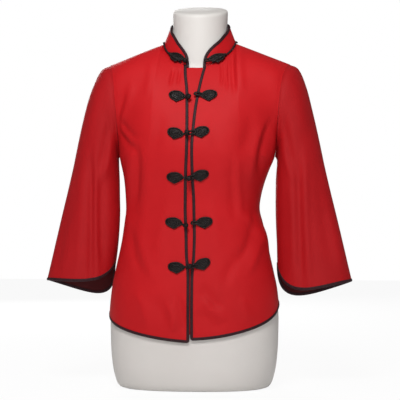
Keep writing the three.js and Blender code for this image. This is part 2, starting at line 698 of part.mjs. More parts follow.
// One ring of the form, from the middle of the front round by the wearer's left.
function formRing(at) {
  const half = (side) => {
    const us = FORM_STEPS.map((s) => shareAt(s, 0));
    const front = us.map((u) => at(side, false, u));
    const behind = us.map((u) => at(side, true, u)).reverse();
    const plate = [];
    for (let i = 1; i < PLATE; i++) {
      const s = i / PLATE;
      const p = front.at(-1).clone().lerp(behind[0], s);
      const bulge = Math.min(4, 0.06 * front.at(-1).distanceTo(behind[0])) * Math.sin(Math.PI * s);
      plate.push(p.add(V(side * bulge, 0, 0)));
    }
    return [...front, ...plate, ...behind];
  };
  const left = half(1);
  const right = half(-1).reverse();
  return [...left, ...right.slice(1, -1)].map(lean);
}

// The neck above the neckline, ending in a flat top that slopes down to the front.
function neckRing(at) {
  const base = (side) => {
    const front = FORM_STEPS.filter((s) => s <= 1).map((s) => 90 * s);
    return [...front.map((b) => at(side, b)), ...front.slice().reverse().map((b) => at(side, 180 - b))];
  };
  const left = base(1);
  const right = base(-1).reverse();
  return [...left, ...right.slice(1, -1)].map(lean);
}

const NECK_RINGS = [
  { w: 0.1, half: 67.4, front: 55.6, back: 51.4, down: 0 },
  { w: 0.25, half: 62.8, front: 55.0, back: 49.2, down: 0 },
  { w: 0.45, half: 57.1, front: 54.3, back: 46.8, down: 0 },
  { w: 0.75, half: 57.0, front: 54.0, back: 46.6, down: 0 },
  { w: 1.0, half: 57.0, front: 54.0, back: 46.6, down: 6 },
  { w: 1.0, half: 55.6, front: 52.4, back: 45.0, down: 2 },
  { w: 1.0, half: 51.5, front: 48.5, back: 41.0, down: 0 },
];

function neckPoint(side, beta, row) {
  const base = neckline(side, beta);
  const y = NECK.y - (beta <= 90 ? row.front : row.back) * Math.cos(rad(beta));
  const top = NECK_TOP.z + NECK_TOP.slope * (y - NECK.y) - row.down;
  return V(side * row.half * Math.sin(rad(beta)), y, mix(base.z, top, row.w));
}

function dressForm() {
  const rings = FORM.map((row) => formRing((side, back, u) => section(FORM, side, back, u, row.z)));
  FORM_UPPER.forEach((t) => rings.push(formRing((side, back, u) => formUpper(side, back, u, t))));
  const points = rings.flat();
  const n = rings[0].length;
  const faces = [];
  for (let r = 0; r < rings.length - 1; r++) {
    for (let i = 0; i < n; i++) {
      const j = (i + 1) % n;
      faces.push(...quad(r * n + i, r * n + j, (r + 1) * n + j, (r + 1) * n + i));
    }
  }
  closeFlat(points, faces, 0, n, false);
  addNeck(points, faces, (rings.length - 1) * n);
  return solid(points, faces);
}

// Closes a ring of points with a fan from its middle.
function closeFlat(points, faces, start, n, up) {
  const ring = points.slice(start, start + n);
  const centre = ring.reduce((sum, p) => sum.add(p), V(0, 0, 0)).multiplyScalar(1 / n);
  points.push(centre);
  const c = points.length - 1;
  for (let i = 0; i < n; i++) {
    const [a, b] = [start + i, start + ((i + 1) % n)];
    faces.push(up ? [c, a, b] : [c, b, a]);
  }
}

// Carries the form on from the neckline part of its last ring.
function addNeck(points, faces, start) {
  const inner = FORM_STEPS.filter((s) => s <= 1).length;
  const half = 2 * FORM_STEPS.length + PLATE - 1;
  const left = Array.from({ length: half }, (_, i) => start + i);
  const right = Array.from({ length: half }, (_, i) => start + ((2 * half - 2 - i) % (2 * half - 2)));
  const used = (list) => [...list.slice(0, inner), ...list.slice(-inner)];
  let ring = [...used(left), ...used(right).reverse().slice(1, -1)];
  for (const row of NECK_RINGS) {
    const next = neckRing((side, beta) => neckPoint(side, beta, row));
    const first = points.length;
    points.push(...next);
    const upper = next.map((_, i) => first + i);
    ring.forEach((_, i) => {
      const j = (i + 1) % ring.length;
      faces.push(...quad(ring[i], ring[j], upper[j], upper[i]));
    });
    ring = upper;
  }
  closeFlat(points, faces, ring[0], ring.length, true);
}

// Frogs --------------------------------------------------------------------------------------
const asManifold = (geometry) =>
  new wasm.Manifold(
    new wasm.Mesh({
      numProp: 3,
      vertProperties: new Float32Array(geometry.getAttribute("position").array),
      triVerts: new Uint32Array(geometry.getIndex().array),
    }),
  );

function fromManifold(made) {
  const mesh = made.getMesh();
  const geometry = new THREE.BufferGeometry();
  geometry.setAttribute("position", new THREE.Float32BufferAttribute(Array.from(mesh.vertProperties), 3));
  geometry.setIndex(Array.from(mesh.triVerts));
  geometry.computeVertexNormals();
  return geometry;
}

// Leaf-shaped pad: blunt at its far end, drawn in towards the opening, with a small tip below.
const padRadius = (turn) => along(PAD_OUTLINE, "turn", "r", turn);

// The same places, turned about the pad's middle.
const tilted = (put, tilt) => (a, b, c) => {
  const [cos, sin] = [Math.cos(rad(tilt)), Math.sin(rad(tilt))];
  return put(a * cos - b * sin, a * sin + b * cos, c);
};

// put(a, b, c): a away from the opening, b up, c out from the cloth.
function padSolid(put) {
  const around = 22;
  const levels = [
    { r: 0.62, c: 1 },
    { r: 0.98, c: 0.62 },
    { r: 0.98, c: 0 },
  ];
  const points = [put(0, 0, PAD.clear + PAD.thick)];
  levels.forEach((level) => {
    for (let i = 0; i < around; i++) {
      const turn = (360 * i) / around;
      const r = padRadius(turn) * level.r;
      points.push(put(r * Math.cos(rad(turn)), r * Math.sin(rad(turn)), PAD.clear + PAD.thick * level.c));
    }
  });
  points.push(put(0, 0, PAD.clear));
  const at = (k, i) => 1 + k * around + (i % around);
  const faces = [];
  for (let i = 0; i < around; i++) {
    faces.push([0, at(0, i), at(0, i + 1)]);
    for (let k = 0; k < levels.length - 1; k++) {
      faces.push(...quad(at(k, i), at(k + 1, i), at(k + 1, i + 1), at(k, i + 1)));
    }
    faces.push([points.length - 1, at(levels.length - 1, i + 1), at(levels.length - 1, i)]);
  }
  return asManifold(solid(points, faces));
}

function ball(place, radius) {
  return asManifold(solid(...sphereParts(place, radius)));
}

function sphereParts(place, radius) {
  const [around, up] = [10, 7];
  const points = [];
  for (let j = 0; j <= up; j++) {
    for (let i = 0; i < around; i++) {
      const [a, b] = [(2 * Math.PI * i) / around, (Math.PI * j) / up];
      const p = V(Math.sin(b) * Math.cos(a), Math.sin(b) * Math.sin(a), Math.cos(b));
      points.push(place.clone().addScaledVector(p, radius));
    }
  }
  const faces = [];
  for (let j = 0; j < up; j++) {
    for (let i = 0; i < around; i++) {
      const k = (i + 1) % around;
      faces.push(...quad(j * around + i, (j + 1) * around + i, (j + 1) * around + k, j * around + k));
    }
  }
  return [points, faces];
}

// Half with the knot: pad, flat double cord and ball.
// away and up give the ball's place from the pad's middle.
function knotHalf(put, tilt, away, up, high) {
  const flat = PAD.clear + 0.9;
  const spots = [
    [-away + 1.6, up, flat],
    [-away, up, flat + 1.6],
    [-away, up, high],
  ];
  const path = [tilted(put, tilt)(-PAD.long + 5, 0, flat), ...spots.map(([a, b, c]) => put(a, b, c))];
  const ns = [put(0, 0, 1), put(0, 0, 1), put(-1, 0, 0.5), put(-1, 0, 0)].map((p) => p.sub(put(0, 0, 0)));
  const neck = asManifold(rod(path, ns, 1.5, 0.8));
  const pad = padSolid(tilted(put, tilt));
  return fromManifold(pad.add(neck).add(ball(put(-away, up, high), PAD.ball)));
}

// Half with the loop: pad and a hairpin of cord whose far end stands away and up from the pad's middle.
function loopHalf(put, tilt, away, up) {
  const c = PAD.clear + 1.7 + 0.35 + PAD.cord;
  const bend = [90, 60, 30, 0, -30, -60, -90].map((d) => [
    -(away - LOOP_GAP) - LOOP_GAP * Math.cos(rad(d)),
    up + LOOP_GAP * Math.sin(rad(d)),
  ]);
  const turned = tilted(put, tilt);
  const raised = (h) => [
    turned(-PAD.long + 6, LOOP_GAP * 0.9, c - 0.6 + h),
    ...bend.map(([a, b]) => put(a, b, c + h)),
    turned(-PAD.long + 6, -LOOP_GAP * 0.9, c - 0.6 + h),
  ];
  const path = raised(0);
  const over = raised(1);
  const ns = path.map((p, i) => over[i].clone().sub(p));
  return fromManifold(padSolid(turned).add(asManifold(rod(path, ns, PAD.cord, PAD.cord, false, 6))));
}

// Places on the front: what crosses the edge bindings is lifted over them.
function frontPut(side, x, z) {
  return (a, b, c) => {
    const px = x + side * a;
    const right = -px - along(EDGE, "z", "right", z + b);
    const left = px - along(EDGE, "z", "left", z + b);
    const beside = Math.max(right, left) - BIND.wide;
    return onFront(px, z + b, c + PAD.over * (1 - smooth(0.5, 7, beside)));
  };
}

// Level places on the collar's front and on the cloth under its seam, lifted over the piping between them.
function collarPut(side, place) {
  const middle = side > 0 ? place.beta : 360 - place.beta;
  const level = collarPoint(middle, 0).z + place.up;
  return (a, b, c) => {
    const beta = middle + side * a * 0.98;
    const seam = collarPoint(beta, 0);
    const up = level + b - seam.z;
    const collarUp = collarPoint(beta, 1).sub(seam).normalize();
    const normal = collarPoint(beta + 2, 0).sub(seam).cross(collarUp).normalize();
    const u = (NECK_U * (side > 0 ? beta : 360 - beta)) / 90;
    const below = upper(side, false, u, 0.9).sub(upper(side, false, u, 1)).normalize();
    const flat = upperNormal(side, false, u, 1);
    const out = flat.lerp(normal, smooth(-3, 3, up)).normalize();
    const p = seam.clone().add(up > 0 ? collarUp.multiplyScalar(up) : below.multiplyScalar(-up));
    return p.addScaledVector(out, c + 0.6 + 4.8 * Math.exp(-((up / 9) ** 2)));
  };
}

// Assembly -----------------------------------------------------------------------------------
const FINISH = {
  red: { color: 0xc62127, roughness: 0.75 },
  satin: { color: 0x3a2a2a, roughness: 0.45 },
  cord: { color: 0x262422, roughness: 0.6 },
  form: { color: 0xdedbd8, roughness: 0.6 },
};

const root = new THREE.Group();
root.name = "cheongsam_jacket_on_form";

function add(name, geometry, finish) {
  const mesh = new THREE.Mesh(geometry, new THREE.MeshStandardMaterial(FINISH[finish]));
  mesh.name = name;
  root.add(mesh);
}

add("dress_form", dressForm(), "form");
add("right_front", wall(frontGrid(-1), -1, false, frontSeam), "red");
add("left_front", wall(frontGrid(1), 1, false, frontSeam), "red");
add("back", wall(backGrid(), -1, false, backSeam), "red");
add("underlap", underlap(), "red");
add("right_sleeve", wall(sleeveGrid(-1), 1, true), "red");
add("left_sleeve", wall(sleeveGrid(1), -1, true), "red");
add("collar", wall(collarGrid(), 1), "red");
add("right_front_binding", frontBinding(-1), "satin");
add("left_front_binding", frontBinding(1), "satin");
add("back_hem_binding", backBinding(), "satin");
add("collar_binding", collarBinding(), "satin");
add("neck_piping", neckPiping(), "satin");
add("right_cuff_binding", cuffBinding(-1), "satin");
add("left_cuff_binding", cuffBinding(1), "satin");
const { right: frogRight, left: frogLeft } = COLLAR_FROG;
add("frog_1_knot", knotHalf(collarPut(-1, frogRight), frogRight.tilt, 20, -6.5, 4.9), "cord");
add("frog_1_loop", loopHalf(collarPut(1, frogLeft), frogLeft.tilt, 22, -4.5), "cord");
for (const f of FROGS) {
  const [knotX, knotZ, knotTilt] = f.right;
  const [loopX, loopZ, loopTilt] = f.left;
  const [ballX, ballZ] = f.knot;
  const high = f.open ? PAD.ball + 1.2 : 11.8;
  const [endX, endZ] = f.open ?? [ballX - LOOP_GAP, ballZ];
  const right = frontPut(-1, -knotX, knotZ);
  const left = frontPut(1, loopX, loopZ);
  add(f.name + "_knot", knotHalf(right, knotTilt, ballX + knotX, ballZ - knotZ, high), "cord");
  add(f.name + "_loop", loopHalf(left, loopTilt, loopX - endX, endZ - loopZ), "cord");
}

export default root;
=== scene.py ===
"""Short cheongsam-style jacket on a limbless dress form, dressed for show round its fixed frame."""

import logging
import math
from collections.abc import Callable
from dataclasses import dataclass, field
from enum import Enum
from functools import partial

import bmesh
import bpy
import numpy as np
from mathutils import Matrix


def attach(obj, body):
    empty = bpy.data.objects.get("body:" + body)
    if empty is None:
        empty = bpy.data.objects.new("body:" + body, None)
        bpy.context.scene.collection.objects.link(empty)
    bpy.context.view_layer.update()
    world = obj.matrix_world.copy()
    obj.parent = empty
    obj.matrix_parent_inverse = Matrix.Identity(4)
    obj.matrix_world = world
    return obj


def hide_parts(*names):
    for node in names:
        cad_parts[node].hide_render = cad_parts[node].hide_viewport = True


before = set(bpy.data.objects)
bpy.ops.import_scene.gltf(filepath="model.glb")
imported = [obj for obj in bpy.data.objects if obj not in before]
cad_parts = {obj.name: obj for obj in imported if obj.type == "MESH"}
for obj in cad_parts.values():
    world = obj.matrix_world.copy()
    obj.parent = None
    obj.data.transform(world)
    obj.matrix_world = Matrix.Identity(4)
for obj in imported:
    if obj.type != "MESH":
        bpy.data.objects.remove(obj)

LOG = logging.getLogger("jacket")
MM = 0.001
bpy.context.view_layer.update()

Array = np.ndarray


# Sizes of the jacket, in millimetres ---------------------------------------------------------
class Table:
    """Rows of sizes under named columns, read smoothly along the first column."""

    def __init__(self, columns: str, rows: list[tuple[float, ...]]) -> None:
        """Keeps the rows.

        Args:
            columns: names of the columns, the first is the one to read along.
            rows: one tuple of numbers for each section.
        """
        self.columns = columns.split()
        self.values = np.array(rows, dtype=float)

    def at(self, name: str, key: Array | float) -> Array:
        """Smooth values of a column.

        Args:
            name: the column.
            key: where along the first column.

        Returns:
            The values at those places.
        """
        keys = self.values[:, 0]
        column = self.values[:, self.columns.index(name)]
        last = len(keys) - 1
        key = np.asarray(key, dtype=float)
        i = np.clip(np.searchsorted(keys, key, side="right") - 1, 0, last - 1)
        before, after = np.maximum(i - 1, 0), np.minimum(i + 2, last)
        span = keys[i + 1] - keys[i]
        s = np.clip((key - keys[i]) / span, 0, 1)
        start = (column[i + 1] - column[before]) / (keys[i + 1] - keys[before]) * span
        end = (column[after] - column[i]) / (keys[after] - keys[i]) * span
        s2, s3 = s * s, s * s * s
        return (
            (2 * s3 - 3 * s2 + 1) * column[i]
            + (s3 - 2 * s2 + s) * start
            + (3 * s2 - 2 * s3) * column[i + 1]
            + (s3 - s2) * end
        )


# Cloth wall, half the gap at a side seam, and how round a section of the body is.
CLOTH, SEAM, ROUND = 1.2, 0.2, 0.833
UNDERARM_Z = 473.0
# Share of a panel's width that ends on the neckline; the rest ends on the shoulder seam.
NECK_SHARE = 0.34
SHOULDER = np.array([186.0, 8.0, 664.0])
NECK_HALF, NECK_Y, NECK_FRONT, NECK_BACK = 74.5, 12.0, 62.0, 56.0
NECK_LOW, NECK_SIDE, NECK_HIGH = 651.0, 708.0, 722.0
BIND_WIDE, BIND_GAP = 2.4, 0.35
SLEEVE_SHIFT = 8.0
COLLAR_TALL, COLLAR_TOP, COLLAR_FIRST, COLLAR_LIFT = 36.0, 33.5, 5.0, 0.8
# Degrees from the front at which each end of the collar starts, and over which it rises to full height.
LEFT_CORNER, LEFT_SPAN, RIGHT_CORNER, RIGHT_SPAN = 12.5, 26.0, 17.4, 40.0
PIPING, PIPING_START, PIPING_END = 1.8, 12.0, 9.0
FOLD_DEPTH = 1.2
# The cloth rounds over the bust: how far above and below the underarm, how fast, and how far to each side.
EASE_TALL, EASE_RATE, EASE_HALF = 46.0, 0.00096, 150.0
# How far a binding's middle line stands beyond the cloth's edge, and where its stitches lie on its lip.
BOUND_REACH, STITCH_IN, STITCH_OUT = 2.0, 0.6, 0.98

BODY = Table(
    "z half front back",
    [
        (100, 175.0, 118.0, 112.0),
        (125, 175.3, 118.5, 113.0),
        (153, 175.3, 119.0, 114.0),
        (177, 173.5, 118.5, 114.0),
        (208, 169.5, 116.0, 112.0),
        (239, 163.0, 113.0, 106.0),
        (268, 156.5, 110.0, 99.0),
        (301, 149.5, 107.5, 91.0),
        (342, 141.5, 105.0, 82.0),
        (363, 137.0, 104.5, 79.0),
        (384, 138.0, 105.0, 79.0),
        (425, 145.5, 110.5, 84.0),
        (473, 160.0, 119.0, 93.0),
    ],
)
FORM = Table(
    "z half front back",
    [
        (0, 148.0, 97.0, 93.0),
        (2, 154.0, 103.0, 98.0),
        (7, 158.5, 107.0, 102.0),
        (14, 161.5, 109.5, 104.5),
        (38, 167.5, 113.0, 108.0),
        (75, 171.7, 113.0, 108.5),
        (110, 173.0, 113.0, 109.0),
        (150, 173.2, 113.4, 109.5),
        (177, 170.5, 112.4, 109.0),
        (208, 164.0, 110.0, 106.0),
        (239, 157.0, 107.0, 100.0),
        (268, 150.5, 104.0, 93.0),
        (301, 143.5, 101.0, 85.0),
        (342, 135.5, 98.5, 76.0),
        (363, 131.0, 98.0, 73.0),
        (384, 132.0, 98.5, 73.0),
        (425, 139.0, 103.5, 78.0),
        (473, 152.5, 111.5, 85.5),
    ],
)
LEAN = Table(
    "z x",
    [
        (0, 0),
        (300, 0),
        (363, -2),
        (400, -1),
        (440, 2.5),
        (480, 6),
        (520, 8),
        (600, 9),
        (700, 10.5),
        (800, 11.5),
    ],
)
YOKE = Table(
    "u front back rise frontDrop backDrop",
    [
        (0.0, -94, 91, 0.32, 31, 45),
        (0.2, -84, 85, 0.36, 20, 28),
        (0.34, -76, 77, 0.4, 12, 14),
        (0.6, -67, 66, 0.42, 6, 8),
        (1.0, -57, 50, 0.36, 12, 12),
    ],
)
# Middle line of the binding on each front, outwards from the figure's middle; below zero it lies past it.
EDGE = Table(
    "z right left",
    [
        (100, 2.7, 2.8),
        (215, 2.7, 2.8),
        (241, 3.3, 3.6),
        (275, 6.4, 6.5),
        (358, 7.2, 8.5),
        (394, 7.5, 7.0),
        (447, 10.5, 0.3),
        (490, 12.0, -3.6),
        (520, 13.2, -3.2),
        (565, 15.0, -0.2),
        (607, 17.6, 5.3),
        (638, 22.4, 10.6),
        (656, 23.8, 14.5),
    ],
)
HEM = {"right": (104.0, 156.0, 0.93, 1.25), "left": (109.0, 176.0, 0.92, 1.4)}
SLEEVE = Table(
    "t outX outZ inRight inLeft inZ front back",
    [
        (0.0, 186, 664, 161, 161, 473, 57, 50),
        (0.07, 205, 653, 163.5, 163.5, 469, 56, 50),
        (0.17, 222, 616, 165, 163.5, 461, 54, 49),
        (0.28, 236, 565, 165, 161.5, 447, 51, 48),
        (0.4, 248.5, 510, 164, 160, 425, 48, 46),
        (0.51, 260, 455, 163.5, 159.5, 395, 45, 44),
        (0.62, 272, 403, 163, 159.5, 362, 43, 42),
        (0.74, 285, 350, 164.5, 160.5, 328, 42, 42),
        (0.86, 298, 295, 167.5, 162, 296, 42, 42),
        (0.94, 308, 252, 171.5, 162.5, 273, 42, 43),
        (1.0, 317, 214, 175, 163, 252, 42, 44),
    ],
)
CUFF_DROP = {"right": (24.0, 57.0), "left": (42.0, 60.0)}
SLEEVE_END = 0.988


def mix(a: Array | float, b: Array | float, t: Array | float) -> Array:
    """Value between a and b at share t."""
    return a + (b - a) * t


def smooth(a: float, b: float, t: Array | float) -> Array:
    """Soft step from 0 at a to 1 at b."""
    s = np.clip((np.asarray(t, dtype=float) - a) / (b - a), 0, 1)
    return s * s * (3 - 2 * s)


def stack(x: Array | float, y: Array | float, z: Array | float) -> Array:
    """Joins three arrays of coordinates into points."""
    return np.stack(np.broadcast_arrays(x, y, z), axis=-1).astype(float)


def unit(v: Array) -> Array:
    """Vectors of length one."""
    return v / np.maximum(np.linalg.norm(v, axis=-1, keepdims=True), 1e-12)


def side_name(side: int) -> str:
    """The wearer's side that a sign stands for."""
    return "right" if side < 0 else "left"


# Form of the body ----------------------------------------------------------------------------
class BodyForm:
    """The surface that the jacket's panels lie on, from the hem to the neck and shoulders."""

    @staticmethod
    def lean(p: Array) -> Array:
        """Points moved to where the figure's middle stands at their height."""
        out = p.copy()
        out[..., 0] += LEAN.at("x", p[..., 2])
        return out

    @staticmethod
    def section(table: Table, side: int, back: bool, u: Array, z: Array) -> Array:
        """Points of a rounded section.

        Args:
            table: outline to follow.
            side: -1 for the wearer's right, 1 for the left.
            back: whether it is the back half.
            u: 0 in the middle, 1 at the side.
            z: height.

        Returns:
            The points, before the lean.
        """
        a = np.radians(90 * np.asarray(u, dtype=float))
        deep = table.at("back", z) if back else -table.at("front", z)
        x = side * table.at("half", z) * np.sin(a) ** ROUND
        return stack(x, deep * np.maximum(0, np.cos(a)) ** ROUND, z)

    @staticmethod
    def neckline(side: int, beta: Array) -> Array:
        """Points of the neckline.

        Args:
            side: -1 for the wearer's right, 1 for the left.
            beta: degrees from the front, 180 at the back.

        Returns:
            The points, before the lean.
        """
        c = np.cos(np.radians(beta))
        low = NECK_LOW + (NECK_SIDE - NECK_LOW) * np.maximum(0, 1 - c) ** 0.7
        z = np.where(c >= 0, low, mix(NECK_SIDE, NECK_HIGH, -c))
        deep = np.where(c >= 0, NECK_FRONT, NECK_BACK)
        return stack(side * NECK_HALF * np.sin(np.radians(beta)), NECK_Y - deep * c, z)

    @classmethod
    def column_end(cls, side: int, back: bool, u: Array) -> Array:
        """Where each column of a panel ends, on the neckline or the shoulder seam."""
        turn = 90 * np.minimum(u, NECK_SHARE) / NECK_SHARE
        on_neck = cls.neckline(side, 180 - turn if back else turn)
        s = np.clip((u - NECK_SHARE) / (1 - NECK_SHARE), 0, 1)[..., None]
        neck = cls.neckline(side, np.array(90.0))
        shoulder = SHOULDER * np.array([side, 1, 1])
        return np.where(s > 0, mix(neck, shoulder, s), on_neck)

    @classmethod
    def upper(cls, side: int, back: bool, u: Array, t: Array) -> Array:
        """Points from under the arm up to the neckline or shoulder seam.

        Args:
            side: -1 for the wearer's right, 1 for the left.
            back: whether it is the back half.
            u: 0 in the middle, 1 at the side.
            t: 0 under the arm, 1 at the top.

        Returns:
            The points, before the lean.
        """
        u, t = np.broadcast_arrays(np.asarray(u, dtype=float), np.asarray(t, dtype=float))
        start = cls.section(BODY, side, back, u, np.full(u.shape, UNDERARM_Z))
        end = cls.column_end(side, back, u)
        middle = YOKE.at("back" if back else "front", u)
        full = (middle - 0.125 * (start[..., 1] + end[..., 1])) / 0.375
        y1 = mix(start[..., 1], full / 2, u * u)
        z1 = mix(start[..., 2], end[..., 2], YOKE.at("rise", u))
        z2 = end[..., 2] - YOKE.at("backDrop" if back else "frontDrop", u)
        bulge = 3 * u * u
        x1 = mix(start[..., 0], end[..., 0], 0.18) + side * bulge * 0.3
        x2 = mix(start[..., 0], end[..., 0], 0.5) - side * bulge * 2.2
        k = 1 - t
        c = np.stack([k**3, 3 * k * k * t, 3 * k * t * t, t**3], axis=-1)[..., None]
        return (
            c[..., 0, :] * start
            + c[..., 1, :] * stack(x1, y1, z1)
            + c[..., 2, :] * stack(x2, full - y1, z2)
            + c[..., 3, :] * end
        )

    @classmethod
    def upper_normal(cls, side: int, back: bool, u: Array, t: Array) -> Array:
        """Outward direction of the shoulder part of the surface."""
        u, t = np.broadcast_arrays(np.asarray(u, dtype=float), np.asarray(t, dtype=float))
        u0 = np.where(u < 0.99, u, u - 0.01)
        t0 = np.where(t < 0.99, t, t - 0.01)
        across = cls.upper(side, back, u0 + 0.01, t) - cls.upper(side, back, u0, t)
        up = cls.upper(side, back, u, t0 + 0.01) - cls.upper(side, back, u, t0)
        return unit(np.cross(across, up)) * (side * (-1 if back else 1))

    @staticmethod
    def hem_at(side: int, back: bool, u: Array) -> Array:
        """Height of the cloth's own lower edge, in one line across the middle of the back."""
        middle, at_side, early, power = HEM[side_name(side)]
        if back:
            even = (HEM["right"][0] + HEM["left"][0]) / 2
            middle = mix(even, middle, smooth(0, 0.45, u))
        return mix(middle, at_side, early * u**power + (1 - early) * u**6)

    @classmethod
    def point(cls, side: int, back: bool, u: Array, v: Array) -> Array:
        """Points of a panel: v 0 to 1 from hem to underarm, 1 to 2 on to the neck or shoulder.

        Args:
            side: the panel's own side.
            back: whether it is the back.
            u: share of the width, below zero past the middle.
            v: share of the height.

        Returns:
            The points, before the lean.
        """
        u, v = np.broadcast_arrays(np.asarray(u, dtype=float), np.asarray(v, dtype=float))
        share = np.abs(u)
        z = mix(cls.hem_at(side, back, share), UNDERARM_Z, np.minimum(v, 1))
        low = cls.section(BODY, side, back, share, z)
        high = cls.upper(side, back, share, np.clip(v - 1, 0, 1))
        p = np.where((v > 1)[..., None], high, low)
        return p * stack(np.where(u < 0, -1, 1), 1, 1)

    @classmethod
    def edge_share(cls, side: int, v: Array) -> Array:
        """Share of the width at which the front edge stands, for each height share v."""
        low, high = np.full_like(v, -0.12), np.full_like(v, 0.3)
        for _ in range(32):
            u = (low + high) / 2
            p = cls.point(side, False, u, v)
            edge = EDGE.at(side_name(side), p[..., 2]) + BIND_WIDE + BIND_GAP
            inside = side * p[..., 0] < edge
            low, high = np.where(inside, u, low), np.where(inside, high, u)
        return (low + high) / 2

    @classmethod
    def front_depth(cls, x: Array, z: Array) -> Array:
        """Depth of the front surface at places seen from the front.

        Args:
            x: across, before the lean.
            z: height.

        Returns:
            The depth; above the underarm it is found by steps along the surface.
        """
        x, z = np.broadcast_arrays(np.asarray(x, dtype=float), np.asarray(z, dtype=float))
        share = np.minimum(1, np.abs(x) / BODY.at("half", z))
        low_y = -BODY.at("front", z) * (1 - share ** (2 / ROUND)) ** (ROUND / 2)
        high = z > UNDERARM_Z
        if not high.any():
            return low_y
        aim = np.stack([np.abs(x[high]), z[high]], axis=-1)
        w = np.clip(aim[:, 0] / 160, 0.001, 0.6)
        t = np.clip((aim[:, 1] - UNDERARM_Z) / 180, 0, 1.15)
        near = 1e-4

        def at(ww: Array, tt: Array) -> Array:
            """Points for a bent share of the width and a share of the height."""
            return cls.upper(1, False, ww ** (1 / ROUND), tt)

        for _ in range(9):
            p = at(w, t)
            off = p[:, [0, 2]] - aim
            by_w = (at(w + near, t) - p)[:, [0, 2]] / near
            by_t = (at(w, t + near) - p)[:, [0, 2]] / near
            det = by_w[:, 0] * by_t[:, 1] - by_w[:, 1] * by_t[:, 0]
            w = np.clip(w - (off[:, 0] * by_t[:, 1] - off[:, 1] * by_t[:, 0]) / det, 0.0005, 0.8)
            t = np.clip(t - (by_w[:, 0] * off[:, 1] - by_w[:, 1] * off[:, 0]) / det, -0.1, 1.2)
        depth = np.array(low_y)
        depth[high] = at(w, t)[:, 1]
        return depth

    @classmethod
    def on_front(cls, x: Array, z: Array, out: Array | float) -> Array:
        """Places on the front, with the lean.

        Args:
            x: across, before the lean.
            z: height.
            out: millimetres to move them out from the cloth.

        Returns:
            The points.
        """
        step = 2.0
        y = cls.front_depth(x, z)
        across = stack(step, cls.front_depth(x + step, z) - y, 0)
        up = stack(0, cls.front_depth(x, z + step) - y, step)
        normal = unit(np.cross(across, up))
        return cls.lean(stack(x, y, z) + normal * np.asarray(out)[..., None])


# Creases -------------------------------------------------------------------------------------
class Face(Enum):
    """Which side of the jacket a crease lies on."""

    FRONT = -1
    BACK = 1


@dataclass(frozen=True)
class Crease:
    """One soft trough or ridge, from one place to another as seen from the front."""

    x0: float
    z0: float
    x1: float
    z1: float
    width: float
    depth: float
    bow: float = 0.0
    face: Face = Face.FRONT

    def height(self, p: Array) -> Array:
        """Height that this crease adds, below zero in a trough.

        Args:
            p: points of the cloth.

        Returns:
            Millimetres along the cloth's outward direction.
        """
        way = np.array([self.x1 - self.x0, self.z1 - self.z0])
        length = float(np.linalg.norm(way))
        way = way / length
        at = np.stack([p[..., 0] - self.x0, p[..., 2] - self.z0], axis=-1)
        s = (at @ way) / length
        off = at @ np.array([-way[1], way[0]]) - self.bow * 4 * s * (1 - s)
        ends = smooth(-0.12, 0.3, s) * (1 - smooth(0.7, 1.12, s))
        return FOLD_DEPTH * self.depth * ends * np.exp(-((off / self.width) ** 2))


